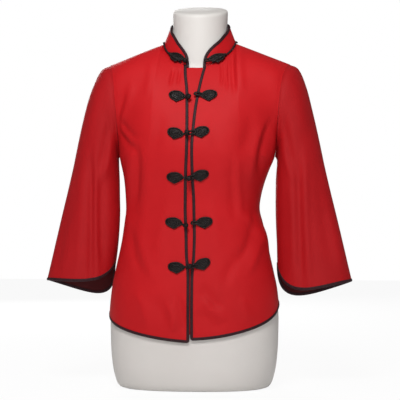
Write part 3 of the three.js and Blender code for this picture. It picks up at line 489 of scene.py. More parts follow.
# Seen from the front: starts and ends in x and z, then width, depth and bow.
BODY_CREASES = [
    Crease(-38, 652, -43, 616, 3.4, -2.4),
    Crease(-25, 650, -28, 618, 3.0, -2.0),
    Crease(58, 664, 60, 616, 3.4, -2.9, 2),
    Crease(69, 668, 73, 606, 3.6, -2.8, -2),
    Crease(81, 690, 88, 596, 5.2, -3.4, -2),
    Crease(96, 694, 104, 600, 8, 1.8, -2),
    Crease(-84, 676, -92, 590, 9, 1.5, 3),
    Crease(-121, 622, -156, 530, 10, 2.8, 4),
    Crease(-134, 600, -160, 500, 7, -3.0, -4),
    Crease(-147, 546, -108, 508, 5, -2.6, -3),
    Crease(-150, 526, -112, 484, 5.5, -3.0, -4),
    Crease(-148, 536, -106, 496, 4.5, 2.0, -3),
    Crease(-112, 498, -117, 372, 9, -4.4, 5),
    Crease(-126, 470, -130, 320, 8, 2.6, -4),
    Crease(-92, 470, -100, 330, 12, 1.6, 4),
    Crease(160, 548, 138, 432, 7, -4.0, -6),
    Crease(146, 540, 120, 420, 8, 2.6, -5),
    Crease(166, 524, 152, 448, 6, 2.2, 3),
    Crease(120, 560, 98, 470, 12, -2.2, 6),
    Crease(94, 470, 101, 350, 7, 2.2, -2),
    Crease(84, 470, 88, 340, 9, -2.0, -2),
    Crease(101, 360, 156, 276, 8, 2.8, 7),
    Crease(126, 372, 100, 262, 9, -3.2, 8),
    Crease(144, 330, 112, 232, 8, 2.6, 5),
    Crease(114, 290, 66, 210, 12, -2.4, -6),
    Crease(-124, 330, -96, 232, 11, -3.0, -7),
    Crease(-104, 330, -72, 226, 12, 2.0, -7),
    Crease(-60, 560, -78, 470, 14, -1.6, 4),
    Crease(48, 560, 60, 470, 14, -1.6, -4),
    Crease(-62, 440, -66, 330, 12, -1.4, 3),
    Crease(-58, 400, -70, 250, 14, 1.8, 5),
    Crease(46, 400, 60, 280, 14, 1.6, -5),
    Crease(-26, 196, -10, 120, 8, -3.4, 3),
    Crease(-44, 176, -30, 124, 8, 2.2, 2),
    Crease(-74, 190, -48, 132, 12, -2.2, 3),
    Crease(24, 214, 64, 168, 10, -3.0, -5),
    Crease(26, 190, 78, 146, 9, 2.4, -5),
    Crease(20, 164, 62, 126, 9, -2.2, -4),
    Crease(-110, 200, -84, 128, 11, 2.0, 4),
    Crease(104, 190, 122, 140, 11, 2.0, -3),
    Crease(-30, 690, -60, 560, 12, 2.0, 4, Face.BACK),
    Crease(40, 690, 74, 560, 12, 2.0, -4, Face.BACK),
    Crease(-132, 560, -112, 420, 10, -3.4, 6, Face.BACK),
    Crease(140, 560, 118, 420, 10, -3.4, -6, Face.BACK),
    Crease(-96, 380, -20, 352, 8, -2.8, 6, Face.BACK),
    Crease(84, 392, 16, 358, 8, -2.8, -5, Face.BACK),
    Crease(-60, 330, 40, 318, 10, 2.2, 5, Face.BACK),
    Crease(-70, 410, -14, 396, 9, 1.8, 4, Face.BACK),
    Crease(-118, 320, -92, 190, 12, -2.6, -6, Face.BACK),
    Crease(112, 320, 86, 190, 12, -2.6, 6, Face.BACK),
    Crease(-20, 300, -30, 140, 14, 1.8, 5, Face.BACK),
]
SLEEVE_CREASES = [
    Crease(-209, 480, -212, 200, 6, -4.2, 2),
    Crease(-198, 480, -197, 215, 7, 3.2, -3),
    Crease(-228, 490, -240, 215, 12, 2.8, 4),
    Crease(-184, 440, -186, 250, 9, -2.8, -5),
    Crease(-172, 560, -196, 440, 10, -3.2, 6),
    Crease(-168, 520, -188, 420, 7, 2.4, 4),
    Crease(-196, 630, -214, 520, 14, 2.2, 4),
    Crease(-254, 380, -286, 228, 11, -2.6, -3),
    Crease(216, 480, 222, 205, 8, -3.8, -3),
    Crease(228, 480, 238, 205, 8, 3.0, -3),
    Crease(256, 470, 284, 235, 14, -2.0, -4),
    Crease(198, 430, 204, 240, 10, 2.8, 5),
    Crease(186, 560, 210, 440, 10, -3.2, -6),
    Crease(184, 520, 204, 420, 7, 2.4, -4),
    Crease(214, 630, 228, 520, 14, 2.2, -4),
    Crease(274, 380, 304, 230, 11, 2.2, 3),
    Crease(-212, 560, -236, 300, 12, -3.6, 7, Face.BACK),
    Crease(-190, 470, -200, 240, 11, 3.0, -5, Face.BACK),
    Crease(-240, 400, -262, 230, 12, 2.2, 4, Face.BACK),
    Crease(228, 560, 252, 300, 12, -3.6, -7, Face.BACK),
    Crease(206, 470, 216, 240, 11, 3.0, 5, Face.BACK),
    Crease(256, 400, 278, 230, 12, 2.2, -4, Face.BACK),
]


def crease_height(p: Array, creases: list[Crease], face: Face) -> Array:
    """All creases of one side added up, with the cloth's own faint unevenness."""
    total = np.zeros(p.shape[:-1])
    for crease in creases:
        if crease.face is face:
            total += crease.height(p)
    # Two slow waves across each other, then two shorter and lower ones.
    x, z = p[..., 0], p[..., 2]
    total += 0.28 * np.sin(0.047 * x + 0.021 * z + 1.3) * np.sin(0.033 * z - 0.018 * x + 0.4)
    total += 0.16 * np.sin(0.11 * x - 0.05 * z + 2.1) * np.sin(0.081 * z + 0.7)
    return total


def body_height(p: Array, face: Face) -> Array:
    """Creases of the body, on cloth that rounds softly over the bust and shoulder blades."""
    near = np.maximum(0, EASE_TALL - np.abs(p[..., 2] - UNDERARM_Z))
    ease = EASE_RATE * near**2 * np.maximum(0, 1 - (p[..., 0] / EASE_HALF) ** 2)
    return crease_height(p, BODY_CREASES, face) - ease


# Meshes --------------------------------------------------------------------------------------
def along(points: Array, closed: bool) -> Array:
    """Way from each point to the next along the first way of a line or grid, which may run round."""
    if closed:
        return np.roll(points, -1, axis=0) - np.roll(points, 1, axis=0)
    return np.gradient(points, axis=0)


def grid_normals(grid: Array, closed: bool) -> Array:
    """Directions square to a grid of points, along its first way crossed with its second."""
    return unit(np.cross(along(grid, closed), np.gradient(grid, axis=1)))


def lengths(path: Array) -> Array:
    """Distance along a path to each of its points."""
    return np.concatenate([[0], np.cumsum(np.linalg.norm(np.diff(path, axis=0), axis=1))])


def link(name: str, data: bpy.types.ID) -> bpy.types.Object:
    """An object for a mesh, camera or lamp, linked into the scene."""
    obj = bpy.data.objects.new(name, data)
    bpy.context.scene.collection.objects.link(obj)
    return obj


def make_object(
    name: str,
    points: Array,
    faces: list,
    uvs: Array,
    smooth_angle: float = 50,
    shaded_inside: Array | None = None,
) -> bpy.types.Object:
    """A mesh object in the scene.

    Args:
        name: the piece's name.
        points: its points in millimetres.
        faces: lists of point numbers, all turned outwards.
        uvs: one pair for each face corner, in metres of cloth.
        smooth_angle: degrees above which an edge stays sharp.
        shaded_inside: for each face, 1 on the cloth's inner side, or None.

    Returns:
        The object, at the origin.
    """
    mesh = bpy.data.meshes.new(name)
    mesh.from_pydata((points * MM).tolist(), [], faces)
    layer = mesh.uv_layers.new(name="cloth")
    layer.data.foreach_set("uv", uvs.astype(np.float32).ravel())
    # Faces marked here are painted in shade by the crepe.
    if shaded_inside is not None:
        inner_side = mesh.attributes.new("shaded_inside", "FLOAT", "FACE")
        inner_side.data.foreach_set("value", shaded_inside.astype(np.float32))
    mesh.validate()
    mesh.polygons.foreach_set("use_smooth", [True] * len(mesh.polygons))
    mesh.set_sharp_from_angle(angle=math.radians(smooth_angle))
    mesh.update()
    return link(name, mesh)


def shell(
    name: str, outer: Array, turn: int, closed: bool = False, seam: Array | None = None
) -> bpy.types.Object:
    """A thin wall of cloth over a grid of points.

    Args:
        name: the piece's name.
        outer: grid of points of the outer face.
        turn: 1 if the grid's own directions point out, -1 if they point in.
        closed: whether the first way of the grid runs round a tube.
        seam: True where two panels meet edge to edge.

    Returns:
        The object.
    """
    n, m = outer.shape[:2]
    normals = grid_normals(outer, closed)
    if seam is not None:
        normals[seam, 1] = 0
        normals = unit(normals)
    inner = outer - normals * (turn * CLOTH)
    points = np.concatenate([outer.reshape(-1, 3), inner.reshape(-1, 3)])
    index = np.arange(n * m).reshape(n, m)
    wide = np.linalg.norm(np.diff(outer, axis=0, append=outer[:1]), axis=-1)
    u = np.concatenate([np.zeros((1, m)), np.cumsum(wide, axis=0)])
    tall = np.linalg.norm(np.diff(outer, axis=1), axis=-1)
    v = np.concatenate([np.zeros((n, 1)), np.cumsum(tall, axis=1)], axis=1)
    v = np.concatenate([v, v[:1]])
    if closed:
        index = np.concatenate([index, index[:1]])
    k = index.shape[0]
    ii, jj = np.meshgrid(np.arange(k), np.arange(m), indexing="ij")

    def corner(i: Array, j: Array) -> Array:
        """Number, column and row of grid points."""
        return np.stack([index[i, j], i, j], axis=-1).reshape(-1, 3)

    def within(q: Array) -> Array:
        """The same corners on the inner face."""
        return q + np.array([n * m, 0, 0])

    low_i, low_j = ii[:-1, :-1], jj[:-1, :-1]
    a, b = corner(low_i, low_j), corner(low_i + 1, low_j)
    c, d = corner(low_i + 1, low_j + 1), corner(low_i, low_j + 1)
    outside = np.stack([a, b, c, d], axis=1)
    inside = np.stack([within(a), within(d), within(c), within(b)], axis=1)
    quads = [outside, inside]
    for j, flip in ((0, False), (m - 1, True)):
        edge = np.full(k - 1, j)
        p, q = corner(np.arange(k - 1), edge), corner(np.arange(1, k), edge)
        ring = [p, within(p), within(q), q]
        quads.append(np.stack(ring[::-1] if flip else ring, axis=1))
    if not closed:
        for i, flip in ((0, False), (n - 1, True)):
            edge = np.full(m - 1, i)
            p, q = corner(edge, np.arange(m - 1)), corner(edge, np.arange(1, m))
            ring = [p, q, within(q), within(p)]
            quads.append(np.stack(ring[::-1] if flip else ring, axis=1))
    every = np.concatenate(quads)
    if turn < 0:
        every = every[:, ::-1]
    uvs = np.stack([u[every[..., 1], every[..., 2]], v[every[..., 1], every[..., 2]]], axis=-1) * MM
    # The cloth's inner faces are marked so that the crepe paints them in shade.
    shaded_inside = np.zeros(len(every))
    shaded_inside[len(outside) : len(outside) + len(inside)] = 1
    return make_object(name, points, every[..., 0].tolist(), uvs.reshape(-1, 2), shaded_inside=shaded_inside)


def oval(wide: float, thick: float, sides: int = 16) -> Array:
    """Oval section of a cord or band, as places across and out."""
    a = 2 * np.pi * (np.arange(sides) + 0.5) / sides
    x = wide * np.sign(np.cos(a)) * np.abs(np.cos(a)) ** 0.8
    return np.stack([x, thick * np.sign(np.sin(a)) * np.abs(np.sin(a)) ** 0.9], axis=-1)


def ways(path: Array, normals: Array, closed: bool, cloth: Array | None) -> tuple[Array, Array]:
    """Directions across a line and out from it, at each of its points.

    Args:
        path: points of the line.
        normals: roughly outward directions.
        closed: whether it runs round into itself.
        cloth: a place that the first way points from, or None.

    Returns:
        Across and out.
    """
    way = unit(along(path, closed))
    across = unit(np.cross(way, normals))
    out = unit(np.cross(across, way))
    middle = len(path) // 2
    if cloth is not None and across[middle] @ (path[middle] - cloth) < 0:
        across = -across
    return across, out


def rod(
    name: str,
    path: Array,
    normals: Array,
    section: Array,
    closed: bool = False,
    cloth: Array | None = None,
) -> bpy.types.Object:
    """A padded band or cord along a path.

    Args:
        name: the piece's name.
        path: points of its middle line.
        normals: direction of its thin side at each point.
        section: its outline, as places across and out.
        closed: whether it runs round into itself.
        cloth: a place that the section's first way points from, or None.

    Returns:
        The object.
    """
    sides = len(section)
    across, out = ways(path, normals, closed, cloth)
    far = lengths(path)
    pucker = 1 + 0.05 * np.sin(far * 0.42) * np.sin(far * 0.17 + 1) + 0.03 * np.sin(far * 0.93)
    x, y = section[:, 0], section[:, 1]
    points = (
        path[:, None]
        + across[:, None] * x[None, :, None]
        + out[:, None] * (y[None] * np.where(y[None] > 0.5, pucker[:, None], 1))[..., None]
    )
    n = len(path)
    k = np.arange(sides)
    rows = np.arange(n if closed else n - 1)
    i, j = np.meshgrid(rows, k, indexing="ij")

    def at(r: Array, c: Array) -> Array:
        """Numbers of the points at rings r and places c round them."""
        return (r % n) * sides + (c % sides)

    quads = np.stack([at(i, j), at(i, j + 1), at(i + 1, j + 1), at(i + 1, j)], axis=-1).reshape(-1, 4)
    total = far[-1] + (np.linalg.norm(path[0] - path[-1]) if closed else 0)
    place = np.append(far, total)
    girth = float(np.sum(np.linalg.norm(section - np.roll(section, 1, axis=0), axis=1)))
    us = np.stack([place[i], place[i], place[i + 1], place[i + 1]], axis=-1)
    vs = np.stack([j, j + 1, j + 1, j], axis=-1) * girth / sides
    uvs = np.stack([us, vs], axis=-1).reshape(-1, 2) * MM
    faces = quads.tolist()
    if not closed:
        faces.append(list(range(sides))[::-1])
        faces.append([(n - 1) * sides + c for c in range(sides)])
        uvs = np.concatenate([uvs, np.zeros((2 * sides, 2))])
    obj = make_object(name, points.reshape(-1, 3), faces, uvs, 60)
    face_out(obj)
    return obj


def bound_edge() -> Array:
    """Section of a binding folded over an edge of cloth, about a line beyond that edge.

    The cloth's edge stands in the slot between the two lips, clear of the satin.
    """
    face = [(-1.25, 0.42), (-0.95, 0.82), (0.0, 1.05), (1.4, 1.15), (2.9, 1.05)]
    fold = [(4.0, 0.7), (4.65, 0.1), (4.8, -0.6)]
    behind = [(4.45, -1.2), (3.4, -1.55), (1.8, -1.7), (-0.75, -1.72), (-1.1, -1.5), (-0.95, -1.3)]
    slot = [(0.2, -1.3), (0.2, 0.1), (-1.15, 0.1)]
    return np.array(face + fold + behind + slot) - np.array([BOUND_REACH, 0.0])


def face_out(obj: bpy.types.Object) -> None:
    """Turns a closed mesh's faces outwards."""
    bm = bmesh.new()
    bm.from_mesh(obj.data)
    bmesh.ops.recalc_face_normals(bm, faces=bm.faces)
    if bm.calc_volume(signed=True) < 0:
        bmesh.ops.reverse_faces(bm, faces=bm.faces)
    bm.to_mesh(obj.data)
    bm.free()


def cut_flat(obj: bpy.types.Object, direction: int) -> None:
    """Cuts a piece on the plane of the side seam and closes the cut.

    Args:
        obj: the piece.
        direction: -1 keeps the front half, 1 the back half.
    """
    bm = bmesh.new()
    bm.from_mesh(obj.data)
    geometry = bm.verts[:] + bm.edges[:] + bm.faces[:]
    cut = bmesh.ops.bisect_plane(
        bm,
        geom=geometry,
        plane_co=(0, direction * SEAM * MM, 0),
        plane_no=(0, -direction, 0),
        clear_outer=True,
    )
    edges = [e for e in cut["geom_cut"] if isinstance(e, bmesh.types.BMEdge)]
    bmesh.ops.holes_fill(bm, edges=edges, sides=0)
    bm.to_mesh(obj.data)
    bm.free()
    face_out(obj)


def beyond(edge: Array, inside: Array, normals: Array, reach: float, closed: bool = False) -> Array:
    """The line a little beyond an edge of cloth, in the cloth's own surface.

    Args:
        edge: points of the edge.
        inside: points next to them on the cloth.
        normals: the cloth's outward directions.
        reach: how far beyond, in millimetres.
        closed: whether the edge runs round into itself.

    Returns:
        The line's points.
    """
    out = unit(np.cross(along(edge, closed), normals))
    sign = np.sign(np.sum(out * (edge - inside), axis=-1, keepdims=True))
    return edge + out * sign * reach


# Finishes ------------------------------------------------------------------------------------
def linear(hex_colour: str) -> tuple[float, float, float, float]:
    """Linear colour of an sRGB hex value."""
    parts = [int(hex_colour[i : i + 2], 16) / 255 for i in (1, 3, 5)]
    turned = [c / 12.92 if c <= 0.04045 else ((c + 0.055) / 1.055) ** 2.4 for c in parts]
    return (turned[0], turned[1], turned[2], 1.0)


def add_node(
    tree: bpy.types.NodeTree,
    kind: str,
    settings: dict | None = None,
    inputs: dict | None = None,
    **values: object,
) -> bpy.types.Node:
    """Adds one node.

    Args:
        tree: where it goes.
        kind: its type.
        settings: its own properties.
        inputs: input name or number to the output that feeds it, or to its fixed value.
        values: input name, with _ for a space, to its fixed value.

    Returns:
        The node.
    """
    node = tree.nodes.new(kind)
    for key, value in (settings or {}).items():
        setattr(node, key, value)
    for key, value in values.items():
        node.inputs[key.replace("_", " ")].default_value = value
    for key, source in (inputs or {}).items():
        if isinstance(source, bpy.types.NodeSocket):
            tree.links.new(source, node.inputs[key])
        else:
            node.inputs[key].default_value = source
    return node


def new_material(name: str) -> tuple[bpy.types.Material, bpy.types.NodeTree]:
    """A material with its nodes cleared, and its tree."""
    material = bpy.data.materials.new(name)
    material.use_nodes = True
    material.node_tree.nodes.clear()
    return material, material.node_tree


def add_skin(
    tree: bpy.types.NodeTree,
    colour: bpy.types.NodeSocket,
    height: bpy.types.NodeSocket,
    strength: float,
    deep: float,
    **values: object,
) -> None:
    """Ends a material with its relief, its skin and the output.

    Args:
        tree: where they go.
        colour: feeds the skin's colour.
        height: feeds the relief.
        strength: how much the relief shows.
        deep: its depth in metres.
        values: the skin's own fixed values.
    """
    relief = add_node(tree, "ShaderNodeBump", {}, {"Height": height}, Strength=strength, Distance=deep)
    feeds = {"Base Color": colour, "Normal": relief.outputs["Normal"]}
    skin = add_node(tree, "ShaderNodeBsdfPrincipled", {}, feeds, **values)
    add_node(tree, "ShaderNodeOutputMaterial", {}, {"Surface": skin.outputs["BSDF"]})


BANDS = {"wave_type": "BANDS", "bands_direction": "X"}
COLOURS, NUMBERS = {"data_type": "RGBA"}, {"data_type": "FLOAT"}


@dataclass(frozen=True)
class Crepe:
    """Polyester crepe, woven from hard-twisted yarn: matt, with a fine pebbled face and a faint nap."""

    name: str = "crepe_cloth"
    mid: str = "#C4141B"
    deep: str = "#B00F15"
    # Painted shade: the colour of the cloth's inner faces, which show dark inside the cuffs.
    inner: str = "#4A0C10"
    grain_mm: float = 0.9
    roughness: float = 0.62

    def build(self) -> bpy.types.Material:
        """Makes the material, its yarn drawn a little coarser than real so that it shows."""
        material, tree = new_material(self.name)
        uv = add_node(tree, "ShaderNodeUVMap", {"uv_map": "cloth"}).outputs["UV"]
        place = add_node(tree, "ShaderNodeTexCoord").outputs["Object"]
        cloud = add_node(tree, "ShaderNodeTexNoise", {}, {"Vector": place}, Scale=9.0, Detail=3.0)
        fine = 1000 / self.grain_mm
        pebble = add_node(tree, "ShaderNodeTexNoise", {}, {"Vector": uv}, Scale=fine, Detail=2.0)
        threads = {"Vector": uv, "Scale": 260.0, "Distortion": 2.0, "Detail": 1.0}
        warp = add_node(tree, "ShaderNodeTexWave", BANDS, threads)
        grain = {2: pebble.outputs["Fac"], 3: warp.outputs["Fac"]}
        height = add_node(tree, "ShaderNodeMix", NUMBERS, grain, Factor=0.3)
        shades = {"Factor": cloud.outputs["Fac"], 6: linear(self.deep), 7: linear(self.mid)}
        shade = add_node(tree, "ShaderNodeMix", COLOURS, shades)
        # The inner faces take the dark colour: painted shade.
        inner = add_node(tree, "ShaderNodeAttribute", {"attribute_name": "shaded_inside"}).outputs["Fac"]
        faces = {"Factor": inner, 6: shade.outputs[2], 7: linear(self.inner)}
        both = add_node(tree, "ShaderNodeMix", COLOURS, faces)
        add_skin(
            tree,
            both.outputs[2],
            height.outputs[0],
            0.22,
            0.0004,
            Roughness=self.roughness,
            Specular_IOR_Level=0.18,
            Sheen_Weight=0.02,
            Sheen_Roughness=0.4,
            Sheen_Tint=linear("#FF7070"),
        )
        return material


@dataclass(frozen=True)
class Satin:
    """Black acetate satin cut on the bias: smooth, with a soft streak of light along the band. Its colours
    are dark red: a painted red reflection on the black satin.
    """

    name: str = "satin_binding"
    # Both colours are tinted red: painted reflection on black satin.
    mid: str = "#24161A"
    light: str = "#40272B"
    rib_mm: float = 0.8
    roughness: float = 0.4

    def build(self) -> bpy.types.Material:
        """Makes the material with its slanting twill and small puckers."""
        material, tree = new_material(self.name)
        uv = add_node(tree, "ShaderNodeUVMap", {"uv_map": "cloth"}).outputs["UV"]
        slant = {"Vector": uv, "Rotation": (0, 0, math.radians(45))}
        turned = add_node(tree, "ShaderNodeMapping", {}, slant).outputs["Vector"]
        rib = 314 / self.rib_mm
        twill = add_node(tree, "ShaderNodeTexWave", BANDS, {"Vector": turned}, Scale=rib, Distortion=1.0)
        pucker = add_node(tree, "ShaderNodeTexNoise", {}, {"Vector": uv}, Scale=160.0, Detail=2.0)
        weave = {2: twill.outputs["Fac"], 3: pucker.outputs["Fac"]}
        height = add_node(tree, "ShaderNodeMix", NUMBERS, weave, Factor=0.6)
        shades = {"Factor": pucker.outputs["Fac"], 6: linear(self.mid), 7: linear(self.light)}
        shade = add_node(tree, "ShaderNodeMix", COLOURS, shades)
        look = {"Roughness": self.roughness, "Specular_IOR_Level": 0.1}
        add_skin(tree, shade.outputs[2], height.outputs[0], 0.35, 0.0006, **look)
        return material


@dataclass(frozen=True)
class Braid:
    """Rayon rat-tail cord: black and softly shiny, its fine yarn just roughening the light."""

    name: str = "frog_cord"
    mid: str = "#0D0909"
    light: str = "#201817"
    yarn_mm: float = 0.6
    roughness: float = 0.36

    def build(self) -> bpy.types.Material:
        """Makes the material from two grains of noise in the piece's own place."""
        material, tree = new_material(self.name)
        place = add_node(tree, "ShaderNodeTexCoord").outputs["Object"]
        fine = 1000 / self.yarn_mm
        yarn = add_node(tree, "ShaderNodeTexNoise", {}, {"Vector": place}, Scale=fine, Detail=3.0)
        cloud = add_node(tree, "ShaderNodeTexNoise", {}, {"Vector": place}, Scale=90.0, Detail=2.0)
        shades = {"Factor": cloud.outputs["Fac"], 6: linear(self.mid), 7: linear(self.light)}
        shade = add_node(tree, "ShaderNodeMix", COLOURS, shades)
        look = {"Roughness": self.roughness, "Specular_IOR_Level": 0.22}
        add_skin(tree, shade.outputs[2], yarn.outputs["Fac"], 0.4, 0.0004, **look)
        return material


@dataclass(frozen=True)
class FormShell:
    """Moulded fibreglass with a sprayed off-white coat: smooth and half matt, faintly mottled."""

    name: str = "form_coat"
    mid: str = "#DAD6D2"
    worn: str = "#CEC9C4"
    roughness: float = 0.5

    def build(self) -> bpy.types.Material:
        """Makes the material with faint clouding and an orange-peel coat."""
        material, tree = new_material(self.name)
        place = add_node(tree, "ShaderNodeTexCoord").outputs["Object"]
        cloud = add_node(tree, "ShaderNodeTexNoise", {}, {"Vector": place}, Scale=7.0, Detail=4.0)
        peel = add_node(tree, "ShaderNodeTexNoise", {}, {"Vector": place}, Scale=420.0, Detail=1.0)
        shades = {"Factor": cloud.outputs["Fac"], 6: linear(self.worn), 7: linear(self.mid)}
        shade = add_node(tree, "ShaderNodeMix", COLOURS, shades)
        add_skin(tree, shade.outputs[2], peel.outputs["Fac"], 0.08, 0.0003, Roughness=self.roughness)
        return material


class Finishes:
    """The materials of all the pieces."""

    def __init__(self) -> None:
        """Makes them."""
        self.crepe = Crepe().build()
        # A deeper copy of the crepe for the sleeves: painted shade that darkens them against the body.
        self.cross = Crepe("crepe_cloth_sleeve_shade", "#B21219", "#9C0C12").build()
        self.satin = Satin().build()
        self.cord = Braid().build()
        self.form = FormShell().build()


class Slot(Enum):
    """Named slots for the finishes."""

    RED = "red_cloth"
    SATIN = "black_satin"
    CORD = "black_cord"
    FORM = "form_white"


def settle(
    obj: bpy.types.Object, material: bpy.types.Material, slot: Slot, node: str
) -> bpy.types.Object:
    """Dresses a finished piece and ties it to the frame.

    Args:
        obj: the piece.
        material: its finish.
        slot: the record's slot for it; not used.
        node: the frame's node that it stands for.

    Returns:
        The same piece.
    """
    if not obj.data.materials:
        obj.data.materials.append(material)
    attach(obj, "root")
    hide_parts(node)
    LOG.info("%s: %d faces", obj.name, len(obj.data.polygons))
    return obj


# Sewing --------------------------------------------------------------------------------------
def new_group(name: str, sizes: tuple[str, str], result: str) -> tuple[bpy.types.NodeTree, list[str]]:
    """A Geometry Nodes tree that takes lines and two named sizes.

    Args:
        name: the tree's name.
        sizes: names of its two sizes.
        result: name of its output.

    Returns:
        The tree, and the identifiers of the two sizes.
    """
    tree = bpy.data.node_groups.new(name, "GeometryNodeTree")
    sockets = tree.interface.new_socket
    sockets("Lines", in_out="INPUT", socket_type="NodeSocketGeometry")
    made = [sockets(size, in_out="INPUT", socket_type="NodeSocketFloat").identifier for size in sizes]
    sockets(result, in_out="OUTPUT", socket_type="NodeSocketGeometry")
    return tree, made


def run_group(tree: bpy.types.NodeTree, mesh: bpy.types.Mesh, sizes: dict[str, float]) -> bpy.types.Mesh:
    """Runs a tree on a mesh of lines.

    Args:
        tree: what to run.
        mesh: the lines, removed afterwards.
        sizes: input identifier to millimetres.

    Returns:
        A plain mesh.
    """
    guide = link(mesh.name, mesh)
    modifier = guide.modifiers.new(tree.name, "NODES")
    modifier.node_group = tree
    for key, value in sizes.items():
        modifier[key] = value * MM
    graph = bpy.context.evaluated_depsgraph_get()
    graph.update()
    made = bpy.data.meshes.new_from_object(guide.evaluated_get(graph))
    bpy.data.objects.remove(guide)
    bpy.data.meshes.remove(mesh)
    return made


class Thread:
    """Geometry Nodes tree that lays one short stitch at each step of a line."""

    def __init__(self, material: bpy.types.Material, thick: float = 0.5) -> None:
        """Builds the tree with its named inputs.

        Args:
            material: the stitches' finish.
            thick: millimetres across a stitch.
        """
        tree, (self.step, self.size) = new_group("stitches", ("Stitch step", "Stitch length"), "Stitches")
        start = add_node(tree, "NodeGroupInput")
        curve = add_node(tree, "GeometryNodeMeshToCurve", {}, {"Mesh": start.outputs["Lines"]})
        spacing = {"Curve": curve.outputs["Curve"], "Length": start.outputs["Stitch step"]}
        even = add_node(tree, "GeometryNodeResampleCurve", {"mode": "LENGTH"}, spacing)
        way = add_node(tree, "GeometryNodeInputTangent")
        turn = add_node(tree, "FunctionNodeAlignRotationToVector", {"axis": "Z"}, {"Vector": way.outputs[0]})
        bead = add_node(tree, "GeometryNodeMeshIcoSphere", Radius=0.5, Subdivisions=1)
        sizes = {"X": thick * MM, "Y": thick * MM, "Z": start.outputs["Stitch length"]}
        long = add_node(tree, "ShaderNodeCombineXYZ", {}, sizes)
        each = add_node(
            tree,
            "GeometryNodeInstanceOnPoints",
            {},
            {
                "Points": even.outputs["Curve"],
                "Instance": bead.outputs["Mesh"],
                "Rotation": turn.outputs[0],
                "Scale": long.outputs[0],
            },
        )
        real = add_node(tree, "GeometryNodeRealizeInstances", {}, {"Geometry": each.outputs["Instances"]})
        finish = {"Geometry": real.outputs["Geometry"], "Material": material}
        dressed = add_node(tree, "GeometryNodeSetMaterial", {}, finish)
        add_node(tree, "NodeGroupOutput", {}, {"Stitches": dressed.outputs["Geometry"]})
        self.tree = tree

    def sew(self, obj: bpy.types.Object, line: Array, step: float = 3.2, size: float = 2.0) -> None:
        """Adds stitches along a line to a piece.

        Args:
            obj: the piece.
            line: the path in millimetres.
            step: millimetres from stitch to stitch.
            size: length of one stitch.
        """
        mesh = bpy.data.meshes.new("stitch_line")
        mesh.from_pydata((line * MM).tolist(), [(i, i + 1) for i in range(len(line) - 1)], [])
        made = run_group(self.tree, mesh, {self.step: step, self.size: size})
        bm = bmesh.new()
        bm.from_mesh(obj.data)
        bm.from_mesh(made)
        for one in bm.faces:
            one.material_index = 0
        bm.to_mesh(obj.data)
        bm.free()
        bpy.data.meshes.remove(made)


def bound(
    name: str, path: Array, normals: Array, cloth: Array, thread: Thread, closed: bool = False
) -> bpy.types.Object:
    """A satin binding folded over an edge of cloth and sewn down along its inner lip.

    Args:
        name: the piece's name.
        path: line beyond the cloth's edge that the binding follows.
        normals: outward directions of the cloth along it.
        cloth: a place on the cloth.
        thread: sews the stitches.
        closed: whether it runs round into itself.

    Returns:
        The object.
    """
    obj = rod(name, path, normals, bound_edge(), closed, cloth)
    across, out = ways(path, normals, closed, cloth)
    line = path + across * (-STITCH_IN - BOUND_REACH) + out * STITCH_OUT
    if closed:
        line = np.concatenate([line, line[:1]])
    thread.sew(obj, line)
    return obj


# Jacket --------------------------------------------------------------------------------------
def steps(low: int, high: int) -> Array:
    """Places from 0 up to 1 in one number of steps, then from 1 to 2 in another."""
    return np.concatenate([np.linspace(0, 1, low, endpoint=False), np.linspace(1, 2, high)])


def share_at(step: Array, first: Array | float) -> Array:
    """Share of a panel's width: steps 0 to 1 lie under the neck, 1 to 2 under the shoulder."""
    return np.where(step <= 1, mix(first, NECK_SHARE, step), mix(NECK_SHARE, 1, step - 1))


def reach_from(grid: Array, axis: int, last: bool) -> Array:
    """Distance along the cloth from one edge of a grid, in millimetres.

    Args:
        grid: points of the cloth.
        axis: the way to measure along.
        last: whether it starts from the last row instead of the first.

    Returns:
        One distance for each point.
    """
    size = np.linalg.norm(np.diff(grid, axis=axis), axis=-1)
    zero = np.zeros_like(np.take(size, [0], axis=axis))
    total = np.concatenate([zero, np.cumsum(size, axis=axis)], axis=axis)
    return np.take(total, [-1], axis=axis) - total if last else total


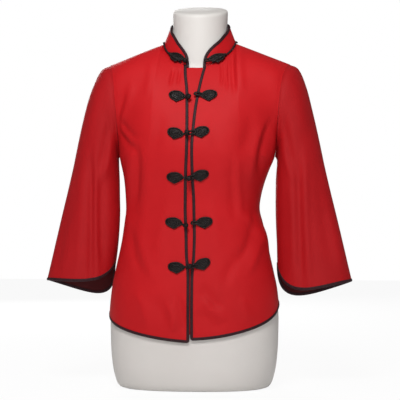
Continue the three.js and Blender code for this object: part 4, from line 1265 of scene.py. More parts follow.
@dataclass
class Panel:
    """One panel of the body, with its creases and the slight pull of its seams."""

    name: str
    side: int
    back: bool = False
    across: int = 44
    low_rows: int = 78
    high_rows: int = 54
    pucker: float = 0.45
    pucker_at: float = 4.0
    pucker_wide: float = 2.4

    def __post_init__(self) -> None:
        """Works out the grid of the outer face."""
        v = steps(self.low_rows, self.high_rows)
        half = steps(self.across, self.across + 12)
        columns = []
        if self.back:
            for step in np.concatenate([-half[:0:-1], half]):
                side = -1 if step < 0 else 1
                columns.append(BodyForm.point(side, True, share_at(np.abs(step), 0.0), v))
        else:
            first = BodyForm.edge_share(self.side, v)
            for step in half:
                columns.append(BodyForm.point(self.side, False, share_at(step, first), v))
        grid = BodyForm.lean(np.array(columns))
        grid[..., 1] += SEAM if self.back else -SEAM
        self.turn = self.side
        self.seam = np.zeros(grid.shape[:2], dtype=bool)
        self.seam[-1] = True
        self.seam[0] = self.back
        self.seam[:, -1] = self._shoulder(grid)
        self.grid = self._creased(grid)

    def _shoulder(self, grid: Array) -> Array:
        """Which columns end on the shoulder seam."""
        n = len(grid)
        if self.back:
            return np.abs(np.arange(n) - (n - 1) / 2) >= self.across
        return np.arange(n) >= self.across

    def _creased(self, grid: Array) -> Array:
        """The grid moved along its normals by the creases, which fade out at the seams."""
        face = Face.BACK if self.back else Face.FRONT
        sides = reach_from(grid, 0, True)
        if self.back:
            sides = np.minimum(sides, reach_from(grid, 0, False))
        top = reach_from(grid, 1, True)
        away = np.minimum(sides, top)
        # The side seams hang almost straight near the hem.
        free = np.maximum(0.18 + 0.82 * smooth(190, 250, grid[..., 2]), smooth(30, 70, sides))
        height = body_height(grid, face) * smooth(1, 14, away) * free
        ripple = 0.6 + 0.4 * np.sin(0.23 * grid[..., 2] + 0.11 * grid[..., 0])
        height -= self.pucker * ripple * np.exp(-(((away - self.pucker_at) / self.pucker_wide) ** 2)) * free
        return grid + grid_normals(grid, False) * (self.turn * height)[..., None]

    def normals(self) -> Array:
        """Outward directions of the cloth."""
        return grid_normals(self.grid, False) * self.turn

    def build(self, finishes: Finishes) -> bpy.types.Object:
        """Makes the panel."""
        obj = shell(self.name + "_cloth", self.grid, self.turn, seam=self.seam)
        return settle(obj, finishes.crepe, Slot.RED, self.name)


def resampled(path: Array, normals: Array, step: float) -> tuple[Array, Array]:
    """A path and its directions at even steps.

    Args:
        path: points in order.
        normals: a direction at each.
        step: spacing in millimetres.

    Returns:
        The new points and directions.
    """
    far = lengths(path)
    keep = np.concatenate([[True], np.diff(far) > 1e-6])
    far, path, normals = far[keep], path[keep], normals[keep]
    at = np.linspace(0, far[-1], max(2, int(far[-1] / step) + 1))
    new = np.stack([np.interp(at, far, path[:, k]) for k in range(3)], axis=-1)
    out = np.stack([np.interp(at, far, normals[:, k]) for k in range(3)], axis=-1)
    return new, unit(out)


def carried_on(path: Array, length: float = 6.0) -> Array:
    """A point past the end of a path."""
    return path[-1] + unit(path[-1] - path[-2]) * length


@dataclass
class EdgeBinding:
    """Satin binding along the edge of a panel: down a front and round its hem, or along the back hem."""

    name: str
    panel: Panel
    step: float = 2.5
    corner_out: float = 1.12

    def line(self) -> tuple[Array, Array]:
        """The binding's middle line and its outward directions."""
        grid, ns = self.panel.grid, self.panel.normals()
        hem = beyond(grid[:, 0], grid[:, 1], ns[:, 0], BOUND_REACH)
        if self.panel.back:
            path, directions = hem, ns[:, 0]
            path = np.concatenate([[carried_on(path[1::-1])], path, [carried_on(path)]])
            directions = np.concatenate([directions[:1], directions, directions[-1:]])
        else:
            down = beyond(grid[0, ::-1], grid[1, ::-1], ns[0, ::-1], BOUND_REACH)
            corner = grid[0, 0]
            way = unit(down[-1] + hem[0] - 2 * corner)
            turn = corner + way * BOUND_REACH * self.corner_out
            path = np.concatenate([down, [turn], hem])
            directions = np.concatenate([ns[0, ::-1], ns[:1, 0], ns[:, 0]])
            path[0] = mix(path[0], path[1], 0.3)
            path = np.concatenate([path, [carried_on(path)]])
            directions = np.concatenate([directions, directions[-1:]])
        return resampled(path, directions, self.step)

    def build(self, finishes: Finishes, thread: Thread) -> bpy.types.Object:
        """Makes the binding and cuts it flat at the side seams."""
        path, directions = self.line()
        grid = self.panel.grid
        middle = grid[len(grid) // 2, grid.shape[1] // 2]
        obj = bound(self.name + "_satin", path, directions, middle, thread)
        cut_flat(obj, 1 if self.panel.back else -1)
        return settle(obj, finishes.satin, Slot.SATIN, self.name)


@dataclass
class Underlap:
    """Straight strip of the same cloth behind the opening, sewn to the left front."""

    name: str = "underlap"
    left: float = -34.0
    right: float = 27.0
    low: float = 116.0
    high: float = 655.0
    inset: float = 2.2

    def build(self, finishes: Finishes) -> bpy.types.Object:
        """Makes the strip, pressed back where the fronts have troughs."""
        across, up = np.linspace(self.left, self.right, 26), np.linspace(self.low, self.high, 150)
        x, z = np.meshgrid(across, up, indexing="ij")
        place = BodyForm.on_front(x, z, -self.inset)
        dip = np.minimum(0, body_height(place, Face.FRONT))
        grid = BodyForm.on_front(x, z, dip - self.inset)
        return settle(shell(self.name + "_cloth", grid, 1), finishes.crepe, Slot.RED, self.name)


@dataclass
class Sleeve:
    """Wide sleeve to below the elbow, cut with a dropping cuff, with the folds of a hanging arm."""

    side: int
    around: int = 120
    rings: int = 110
    seam_gap: float = 0.2
    seam_gap_low: float = 0.5
    seam_lift_low: float = 0.4
    pucker: float = 0.7
    pucker_at: float = 4.0
    pucker_wide: float = 3.0
    pucker_turns: int = 9

    def ring(self, psi: Array, t: Array) -> Array:
        """Points of the sleeve's own tube: psi 0 outside, 90 in front; t 0 at the armhole."""
        c, s = np.cos(np.radians(psi)), np.sin(np.radians(psi))
        word = side_name(self.side)
        inner = "inRight" if self.side < 0 else "inLeft"
        deep = np.where(s >= 0, SLEEVE.at("front", t), SLEEVE.at("back", t))
        half = np.minimum(psi, 360 - psi) / 180
        front, back = CUFF_DROP[word]
        hang_front = front * np.maximum(0, np.sin(np.pi * half**1.7)) ** 1.3
        hang_back = back * np.maximum(0, np.sin(np.pi * half**1.9)) ** 0.9
        fall = np.clip((t - 0.35) / 0.65, 0, 1) ** 1.6
        hang = np.where(np.abs(s) < 1e-9, 0, np.where(s >= 0, hang_front, hang_back))
        x = mix(SLEEVE.at("outX", t), SLEEVE.at(inner, t), (1 - c) / 2)
        z = mix(SLEEVE.at("outZ", t), SLEEVE.at("inZ", t), (1 - c) / 2) - hang * fall
        return stack(self.side * x + SLEEVE_SHIFT, -deep * s, z)

    def armhole(self, psi: Array) -> Array:
        """The seam that the sleeve starts from."""
        front = BodyForm.upper(self.side, False, 1.0, np.clip(1 - psi / 180, 0, 1))
        behind = BodyForm.upper(self.side, True, 1.0, np.clip((psi - 180) / 180, 0, 1))
        p = BodyForm.lean(np.where((psi > 180)[..., None], behind, front))
        low = (1 - np.cos(np.radians(psi))) / 2
        gap = self.seam_gap + self.seam_gap_low * low**3
        return p + stack(self.side * gap, 0, self.seam_lift_low * low**3)

    def surface(self) -> Array:
        """The grid of the outer face, with its folds."""
        turn, down = 360 * np.arange(self.around) / self.around, np.linspace(0, SLEEVE_END, self.rings)
        psi, t = np.meshgrid(turn, down, indexing="ij")
        ring = self.ring(psi, t)
        joined = self.armhole(psi) + ring - self.ring(psi, np.zeros_like(t))
        grid = mix(joined, ring, smooth(0, 0.3, t)[..., None])
        normals = grid_normals(grid, True) * self.side
        s = np.sin(np.radians(psi))
        front = crease_height(grid, SLEEVE_CREASES, Face.FRONT)
        behind = crease_height(grid, SLEEVE_CREASES, Face.BACK)
        down = reach_from(grid, 1, False)
        height = np.where(s >= 0, front, behind) * smooth(0, 0.4, np.abs(s)) * smooth(2, 30, down)
        ease = 0.5 + 0.5 * np.sin(np.radians(psi) * self.pucker_turns + 0.6)
        height -= self.pucker * ease * np.exp(-(((down - self.pucker_at) / self.pucker_wide) ** 2))
        return grid + normals * height[..., None]

    def build(self, finishes: Finishes, thread: Thread) -> list[bpy.types.Object]:
        """Makes the sleeve and its cuff binding."""
        word = side_name(self.side)
        grid = self.surface()
        cloth = shell(word + "_sleeve_cloth", grid, self.side, closed=True)
        # The sleeves take the deeper copy of the crepe: painted shade.
        settle(cloth, finishes.cross, Slot.RED, word + "_sleeve")
        edge, inside = grid[:, -1], grid[:, -2]
        normals = grid_normals(grid, True)[:, -1] * self.side
        path = beyond(edge, inside, normals, BOUND_REACH, closed=True)
        cuff = bound(word + "_cuff_satin", path, normals, grid[len(grid) // 2, -8], thread, closed=True)
        settle(cuff, finishes.satin, Slot.SATIN, word + "_cuff_binding")
        return [cloth, cuff]


@dataclass
class Collar:
    """Stand collar with rounded front corners, its binding, and the piping on its seam."""

    columns: int = 180
    lean: float = 0.185
    lean_front: float = 0.08
    lean_back: float = 0.12

    def rise(self, beta: Array) -> Array:
        """Height of the collar at an angle round the neck."""
        left, right = (beta - LEFT_CORNER) / LEFT_SPAN, (360 - beta - RIGHT_CORNER) / RIGHT_SPAN
        s = np.clip(np.where(beta <= 180, left, right), 0, 1)
        return mix(COLLAR_FIRST, COLLAR_TOP, (1 - (1 - s) ** 2.5) ** 0.4)

    def base(self, beta: Array) -> Array:
        """Points of the neck seam at angles right round."""
        left = BodyForm.neckline(1, np.clip(beta, 0, 180))
        right = BodyForm.neckline(-1, np.clip(360 - beta, 0, 180))
        return np.where((beta <= 180)[..., None], left, right)

    def point(self, beta: Array, w: Array) -> Array:
        """Points of the collar: beta degrees from the front, w 0 at the seam and 1 at the top."""
        beta, w = np.broadcast_arrays(np.asarray(beta, dtype=float), np.asarray(w, dtype=float))
        b = np.where(beta <= 180, beta, 360 - beta)
        base = self.base(beta)
        rise = w * self.rise(beta)
        share = rise / COLLAR_TALL
        pull = self.lean * smooth(12, 62, b) * share
        back = np.where(b < 90, self.lean_front, self.lean_back) * share
        y = NECK_Y + (base[..., 1] - NECK_Y) * (1 - back)
        return BodyForm.lean(stack(base[..., 0] * (1 - pull), y, base[..., 2] + COLLAR_LIFT + rise * 0.98))

    def grid(self) -> Array:
        """The outer face."""
        s = np.linspace(0, 1, self.columns)
        beta = mix(LEFT_CORNER, 360 - RIGHT_CORNER, s - 0.085 * np.sin(2 * np.pi * s))
        beta, w = np.meshgrid(beta, np.linspace(0, 1, 14), indexing="ij")
        return self.point(beta, w)

    def binding_line(self, grid: Array) -> tuple[Array, Array]:
        """Up one front, round the top edge and down the other front."""
        ns = grid_normals(grid, False)
        rim = np.concatenate([grid[0, :1], grid[:, -1], grid[-1, :1]])
        inner = np.concatenate([grid[1, :1], grid[:1, -2], grid[1:-1, -2], grid[-1:, -2], grid[-2, :1]])
        directions = np.concatenate([ns[0, :1], ns[:, -1], ns[-1, :1]])
        path = beyond(rim, inner, directions, BOUND_REACH)
        drop = np.array([0.0, -0.6, -4.5])
        path = np.concatenate([path[:1] + drop, path, path[-1:] + drop])
        directions = np.concatenate([directions[:1], directions, directions[-1:]])
        return resampled(path, directions, 2.2)

    def piping_line(self) -> tuple[Array, Array]:
        """The crook between the collar and the shoulders."""
        beta = np.linspace(LEFT_CORNER + PIPING_START, 360 - PIPING_END - RIGHT_CORNER, 150)
        b = np.where(beta <= 180, beta, 360 - beta)
        low = self.point(beta, 0)
        normal = unit(np.cross(self.point(beta + 2, 0) - low, self.point(beta, 0.5) - low))
        flat = np.zeros_like(normal)
        for side in (-1, 1):
            pick = (beta <= 180) == (side > 0)
            ahead = NECK_SHARE * np.minimum(b[pick], 90) / 90
            behind = NECK_SHARE * np.minimum(180 - b[pick], 90) / 90
            front = BodyForm.upper_normal(side, False, ahead, np.ones_like(ahead))
            back = BodyForm.upper_normal(side, True, behind, np.ones_like(behind))
            flat[pick] = unit(mix(front, back, smooth(72, 112, b[pick])[:, None]))
        out = unit(normal + flat)
        reach = (PIPING + 0.95) / np.maximum(0.6, np.sum(out * flat, axis=-1, keepdims=True))
        ahead_of_side, past_side = np.exp(-(((b - 62) / 20) ** 2)), np.exp(-(((b - 106) / 14) ** 2))
        reach *= 1 + (0.12 * ahead_of_side - 0.22 * past_side)[:, None]
        return low + np.array([0, 0, -COLLAR_LIFT / 2]) + out * reach, out

    def build(self, finishes: Finishes, thread: Thread) -> list[bpy.types.Object]:
        """Makes the collar, its binding and the piping."""
        grid = self.grid()
        cloth = shell("collar_cloth", grid, 1)
        settle(cloth, finishes.crepe, Slot.RED, "collar")
        path, directions = self.binding_line(grid)
        edge = bound("collar_satin", path, directions, grid[len(grid) // 2, 2], thread)
        settle(edge, finishes.satin, Slot.SATIN, "collar_binding")
        path, directions = self.piping_line()
        piping = rod("neck_piping_satin", path, directions, oval(PIPING, PIPING))
        settle(piping, finishes.satin, Slot.SATIN, "neck_piping")
        return [cloth, edge, piping]


# Frogs ---------------------------------------------------------------------------------------
class Cord:
    """Geometry Nodes tree that turns lines into twisted cord."""

    def __init__(self, material: bpy.types.Material, step: float = 0.9) -> None:
        """Builds the tree with its named inputs.

        Args:
            material: the cord's finish.
            step: millimetres from ring to ring.
        """
        tree, (self.radius, self.turn) = new_group("twisted_cord", ("Radius", "Turn length"), "Cord")
        start = add_node(tree, "NodeGroupInput")
        curve = add_node(tree, "GeometryNodeMeshToCurve", {}, {"Mesh": start.outputs["Lines"]})
        spacing = {"Curve": curve.outputs["Curve"], "Length": step * MM}
        even = add_node(tree, "GeometryNodeResampleCurve", {"mode": "LENGTH"}, spacing)
        way = add_node(tree, "GeometryNodeSplineParameter")
        share = {0: way.outputs["Length"], 1: start.outputs["Turn length"]}
        turns = add_node(tree, "ShaderNodeMath", {"operation": "DIVIDE"}, share)
        whole = {0: turns.outputs[0], 1: 2 * math.pi}
        angle = add_node(tree, "ShaderNodeMath", {"operation": "MULTIPLY"}, whole)
        twist = {"Curve": even.outputs["Curve"], "Tilt": angle.outputs[0]}
        tilt = add_node(tree, "GeometryNodeSetCurveTilt", {}, twist)
        size = {"Radius": start.outputs["Radius"], "Resolution": 9}
        ring = add_node(tree, "GeometryNodeCurvePrimitiveCircle", {"mode": "RADIUS"}, size)
        lobed = {"Geometry": ring.outputs["Curve"], "Position": self._lobes(tree).outputs[0]}
        profile = add_node(tree, "GeometryNodeSetPosition", {}, lobed)
        swept = {"Curve": tilt.outputs["Curve"], "Profile Curve": profile.outputs["Geometry"]}
        solid = add_node(tree, "GeometryNodeCurveToMesh", {}, swept, Fill_Caps=True)
        real = add_node(tree, "GeometryNodeRealizeInstances", {}, {"Geometry": solid.outputs["Mesh"]})
        finish = {"Geometry": real.outputs["Geometry"], "Material": material}
        dressed = add_node(tree, "GeometryNodeSetMaterial", {}, finish)
        soft = add_node(tree, "GeometryNodeSetShadeSmooth", {}, {"Geometry": dressed.outputs["Geometry"]})
        add_node(tree, "NodeGroupOutput", {}, {"Cord": soft.outputs[0]})
        self.tree = tree

    @staticmethod
    def _lobes(tree: bpy.types.NodeTree) -> bpy.types.Node:
        """Place of each profile point, pushed in at every third to make three lobes."""
        place = add_node(tree, "GeometryNodeInputPosition")
        index = add_node(tree, "GeometryNodeInputIndex")
        third = add_node(tree, "ShaderNodeMath", {"operation": "MODULO"}, {0: index.outputs[0], 1: 3.0})
        hollow = add_node(tree, "ShaderNodeMath", {"operation": "LESS_THAN"}, {0: third.outputs[0], 1: 0.5})
        pushed = {0: hollow.outputs[0], 1: -0.3, 2: 1.0}
        size = add_node(tree, "ShaderNodeMath", {"operation": "MULTIPLY_ADD"}, pushed)
        scaled = {"Vector": place.outputs[0], "Scale": size.outputs[0]}
        return add_node(tree, "ShaderNodeVectorMath", {"operation": "SCALE"}, scaled)

    def wind(self, name: str, lines: list[Array], radius: float, turn: float) -> bpy.types.Mesh:
        """Makes the cord along lines.

        Args:
            name: name for the mesh.
            lines: paths in millimetres.
            radius: the cord's radius in millimetres.
            turn: length of one twist in millimetres.

        Returns:
            A plain mesh.
        """
        points = np.concatenate(lines) * MM
        edges, start = [], 0
        for line in lines:
            edges += [(start + i, start + i + 1) for i in range(len(line) - 1)]
            start += len(line)
        mesh = bpy.data.meshes.new(name + "_lines")
        mesh.from_pydata(points.tolist(), edges, [])
        return run_group(self.tree, mesh, {self.radius: radius, self.turn: turn})


@dataclass(frozen=True)
class Leaf:
    """Leaf-shaped pad of coiled cord: blunt at its far end, drawn in to the opening, a small tip below."""

    long: float = 17.5
    thick: float = 4.2
    clear: float = 0.6
    cord: float = 1.75
    rounds: int = 4
    outline: Table = field(
        default_factory=lambda: Table(
            "turn r",
            [
                (0, 17.5),
                (20, 17.2),
                (40, 14.6),
                (65, 11.8),
                (90, 11.0),
                (115, 11.3),
                (140, 12.6),
                (160, 15.0),
                (180, 17.5),
                (200, 15.3),
                (220, 12.6),
                (245, 11.9),
                (262, 12.6),
                (270, 13.4),
                (278, 12.8),
                (295, 11.8),
                (320, 13.0),
                (340, 15.5),
                (360, 17.5),
            ],
        )
    )

    def edge(self, turn: Array, inset: float) -> Array:
        """The outline, drawn in square to itself.

        Args:
            turn: degrees, 0 at the far end and 90 at the top.
            inset: millimetres to draw it in.

        Returns:
            Places away and up from the middle.
        """
        r = self.outline.at("r", np.mod(turn, 360))
        p = np.stack([r * np.cos(np.radians(turn)), r * np.sin(np.radians(turn))], axis=-1)
        way = unit(np.roll(p, -1, axis=0) - np.roll(p, 1, axis=0))
        return p - inset * np.stack([way[:, 1], -way[:, 0]], axis=-1)

    def lines(self) -> list[Array]:
        """Rounds of cord in the pad's own plane: away, up, out. Each lies inside the last, and higher."""
        turn = np.linspace(0, 360, 96, endpoint=False)
        outer = self.edge(turn, self.cord)
        made = []
        for k in range(self.rounds):
            flat = outer * np.array([1 - 0.25 * k, 1 - 0.32 * k]) + np.array([-0.35 * k, -0.1 * k])
            flat = np.concatenate([flat, flat[:1]])
            rise = self.clear + self.cord + (self.thick - 2 * self.cord) * (k / (self.rounds - 1)) ** 0.6
            made.append(stack(flat[:, 0], flat[:, 1], rise))
        return made

    def core(self) -> tuple[Array, list]:
        """Low dome under the cord, as points and faces."""
        turn = np.linspace(0, 360, 48, endpoint=False)
        flat = self.edge(turn, self.cord)
        levels = [(0.5, 0.62), (0.8, 0.5), (1.0, 0.3), (1.0, 0.0)]
        rings = [stack(flat[:, 0] * s, flat[:, 1] * s, self.clear + self.thick * h) for s, h in levels]
        points = np.concatenate([[[0, 0, self.clear + self.thick * 0.66]], *rings, [[0, 0, self.clear]]])
        n, faces = len(turn), []

        def at(k: int, i: int) -> int:
            """Number of point i of ring k."""
            return 1 + k * n + i % n

        for i in range(n):
            faces.append([0, at(0, i), at(0, i + 1)])
            for k in range(3):
                faces.append([at(k, i), at(k + 1, i), at(k + 1, i + 1), at(k, i + 1)])
            faces.append([len(points) - 1, at(3, i + 1), at(3, i)])
        return points, faces


@dataclass(frozen=True)
class FrogPlace:
    """Where one frog sits: each pad's place and tilt, the knot, and the end of an open loop."""

    name: str
    right: tuple[float, float, float]
    left: tuple[float, float, float]
    knot: tuple[float, float]
    open: tuple[float, float] | None = None


FROGS = [
    FrogPlace("frog_2", (36.9, 593, 6), (27, 594.3, 3), (-13, 588.5), (-1.7, 595)),
    FrogPlace("frog_3", (36.5, 517, 12), (14, 519.7, 7), (-12.3, 515.5)),
    FrogPlace("frog_4", (31.2, 429.5, 1), (18.7, 433.6, 7), (-2, 429)),
    FrogPlace("frog_5", (31.3, 338.7, 1), (28.9, 339.5, 5), (-7, 333), (3.8, 338)),
    FrogPlace("frog_6", (27, 249.8, 0), (24.2, 256.5, 18), (0.5, 251)),
]


def tilted(p: Array, tilt: float) -> Array:
    """Places turned about a pad's middle, in degrees towards its far end rising."""
    cos, sin = math.cos(math.radians(tilt)), math.sin(math.radians(tilt))
    return stack(p[..., 0] * cos - p[..., 1] * sin, p[..., 0] * sin + p[..., 1] * cos, p[..., 2])


@dataclass(frozen=True)
class FrontPlace:
    """Places a frog's own sizes on the fronts, lifted over the edge bindings."""

    side: int
    x: float
    z: float
    tilt: float
    over: float = 1.5

    def put(self, p: Array) -> Array:
        """Points on the jacket for points given as away, up and out."""
        x = self.x + self.side * p[..., 0]
        z = self.z + p[..., 1]
        beside = np.maximum(-x - EDGE.at("right", z), x - EDGE.at("left", z)) - BIND_WIDE
        over = self.over * (1 - smooth(0.5, 7, beside))
        crease = body_height(BodyForm.on_front(x, z, 0.0), Face.FRONT)
        return BodyForm.on_front(x, z, p[..., 2] + over + crease)


@dataclass(frozen=True)
class CollarPlace:
    """Places the top frog level on the collar's front and on the cloth under its seam, over the piping."""

    side: int
    collar: Collar
    beta: float
    tilt: float
    up: float = 4.2
    clear: float = 0.6
    over: float = 4.8
    over_wide: float = 9.0
    steepest: float = 0.54

    def put(self, p: Array) -> Array:
        """Points on the jacket for points given as away, up and out."""
        middle = self.beta if self.side > 0 else 360 - self.beta
        level = self.collar.point(middle, 0)[2] + self.up
        beta = middle + self.side * p[..., 0] * 0.98
        seam = self.collar.point(beta, 0)
        up = level + p[..., 1] - seam[..., 2]
        rising = unit(self.collar.point(beta, 1) - seam)
        normal = unit(np.cross(self.collar.point(beta + 2, 0) - seam, rising))
        u = NECK_SHARE * (beta if self.side > 0 else 360 - beta) / 90
        top = BodyForm.upper(self.side, False, u, np.ones_like(u))
        below = unit(BodyForm.upper(self.side, False, u, np.full_like(u, 0.9)) - top)
        flat = BodyForm.upper_normal(self.side, False, u, np.ones_like(u))
        out = unit(mix(flat, normal, smooth(-3, 3, up)[..., None]))
        lift = p[..., 2] + self.clear + self.over * np.exp(-((up / self.over_wide) ** 2))
        down = -up / np.maximum(self.steepest, -below[..., 2])
        along = np.where((up > 0)[..., None], rising * up[..., None], below * down[..., None])
        return seam + along + out * lift[..., None]


@dataclass
class FrogHalf:
    """One half of a frog: the pad, and either the ball knot or the loop."""

    name: str
    place: FrontPlace | CollarPlace
    reach: float
    rise: float
    knot: bool
    high: float = 6.8
    bend: float = 3.4
    half: float = 3.1
    loop_cord: float = 1.8
    leaf: Leaf = field(default_factory=Leaf)
    ball: float = 5.6
    ball_cord: float = 1.4
    strand: float = 1.1

    def on_pad(self, p: Array) -> Array:
        """Points on the jacket for points in the pad's own tilted plane."""
        return self.place.put(tilted(p, self.place.tilt))

    def neck_lines(self) -> list[Array]:
        """The cords between the pad and the ball, side by side."""
        flat = self.leaf.clear + 1.0
        root = tilted(np.array([[-self.leaf.long + 7, 0.0, 0.0]]), self.place.tilt)[0]
        lines = []
        for off in (-self.strand, self.strand):
            a = np.array([root[0], -self.reach + 2.2, -self.reach + 0.4, -self.reach])
            b = np.array([root[1] + off, self.rise + off, self.rise + off, self.rise + off])
            c = np.array([flat + 0.6, flat, flat + 1.6, self.high - 1])
            line, _ = resampled(stack(a, b, c), stack(np.zeros(4), 0, 1), 0.8)
            lines.append(self.place.put(line))
        return lines

    def loop_lines(self) -> list[Array]:
        """The hairpin of cord that takes the knot."""
        c = self.leaf.clear + 1.7 + 0.35 + 1.3
        turn = np.radians(np.linspace(90, -90, 25))
        a = -(self.reach - self.bend) - self.bend * np.cos(turn)
        b = self.rise + self.half * np.sin(turn)
        ends = np.array([[-self.leaf.long + 6, self.half * k, c - 0.6] for k in (0.9, -0.9)])
        ends = tilted(ends, self.place.tilt)
        line = np.concatenate([ends[:1], stack(a, b, c), ends[1:]])
        line, _ = resampled(line, stack(np.zeros(len(line)), 0, 1), 0.6)
        return [self.place.put(line)]

    def centre(self) -> Array:
        """The middle of the ball."""
        return self.place.put(np.array([-self.reach, self.rise, self.high]))

    def ball_lines(self) -> list[Array]:
        """Turned rounds of cord that make the ball, about its own middle."""
        angle = np.linspace(0, 2 * np.pi, 49)
        lines = []
        for tip, spin in ((18, 0), (62, 35), (62, 155), (62, 275), (90, 90), (90, 20)):
            t, s = math.radians(tip), math.radians(spin)
            normal = np.array([math.sin(t) * math.cos(s), -math.cos(t), math.sin(t) * math.sin(s)])
            first = unit(np.cross(normal, [0.3, 0.2, 1.0]))
            second = np.cross(normal, first)
            ring = np.cos(angle)[:, None] * first + np.sin(angle)[:, None] * second
            lines.append(self.centre() + (self.ball - self.ball_cord) * ring)
        return lines

    def build(self, cord: Cord, finishes: Finishes) -> bpy.types.Object:
        """Winds the cord, adds the core and joins them into one piece."""
        lines = [self.on_pad(line) for line in self.leaf.lines()]
        parts = [cord.wind(self.name, lines, self.leaf.cord, 7.0)]
        if self.knot:
            parts.append(cord.wind(self.name, self.neck_lines(), self.strand, 5.0))
            parts.append(cord.wind(self.name, self.ball_lines(), self.ball_cord, 5.0))
        else:
            parts.append(cord.wind(self.name, self.loop_lines(), self.loop_cord, 6.0))
        points, faces = self.leaf.core()
        core = bpy.data.meshes.new(self.name + "_core")
        core.from_pydata((self.on_pad(points) * MM).tolist(), [], faces)
        parts.append(core)
        bm = bmesh.new()
        for part in parts:
            bm.from_mesh(part)
        if self.knot:
            made = bmesh.ops.create_icosphere(bm, subdivisions=2, radius=(self.ball - 1.8) * MM)
            bmesh.ops.translate(bm, verts=made["verts"], vec=(self.centre() * MM).tolist())
        bmesh.ops.recalc_face_normals(bm, faces=bm.faces)
        for face in bm.faces:
            face.smooth = True
            face.material_index = 0
        mesh = bpy.data.meshes.new(self.name + "_cord")
        bm.to_mesh(mesh)
        bm.free()
        for part in parts:
            bpy.data.meshes.remove(part)
        return settle(link(self.name + "_cord", mesh), finishes.cord, Slot.CORD, self.name)


# A closed knot stands higher, over its loop, which it spreads; an open loop is narrower and its cord fuller.
CLOSED_HIGH, OPEN_HIGH = 11.8, 6.8
CLOSED_LOOP, OPEN_LOOP = {"half": 3.1, "loop_cord": 1.8}, {"half": 2.5, "loop_cord": 2.1}
LOOP_PAST_KNOT = 3.4


def build_frogs(collar: Collar, finishes: Finishes) -> None:
    """Makes all twelve frog halves."""
    right, left = CollarPlace(-1, collar, 37, 7), CollarPlace(1, collar, 33, 6)
    halves = [
        FrogHalf("frog_1_knot", right, 19, -7.2, True, 4.9),
        FrogHalf("frog_1_loop", left, 22, -4.5, False, **OPEN_LOOP),
    ]
    for frog in FROGS:
        x, z = frog.knot
        end = frog.open or (x - LOOP_PAST_KNOT, z)
        high, sizes = (OPEN_HIGH, OPEN_LOOP) if frog.open else (CLOSED_HIGH, CLOSED_LOOP)
        away, up, tilt = frog.right
        right, left = FrontPlace(-1, -away, up, tilt), FrontPlace(1, *frog.left)
        halves.append(FrogHalf(frog.name + "_knot", right, x + away, z - up, True, high))
        reach, rise = frog.left[0] - end[0], end[1] - frog.left[1]
        halves.append(FrogHalf(frog.name + "_loop", left, reach, rise, False, **sizes))
    cord = Cord(finishes.cord)
    for half in halves:
        half.build(cord, finishes)


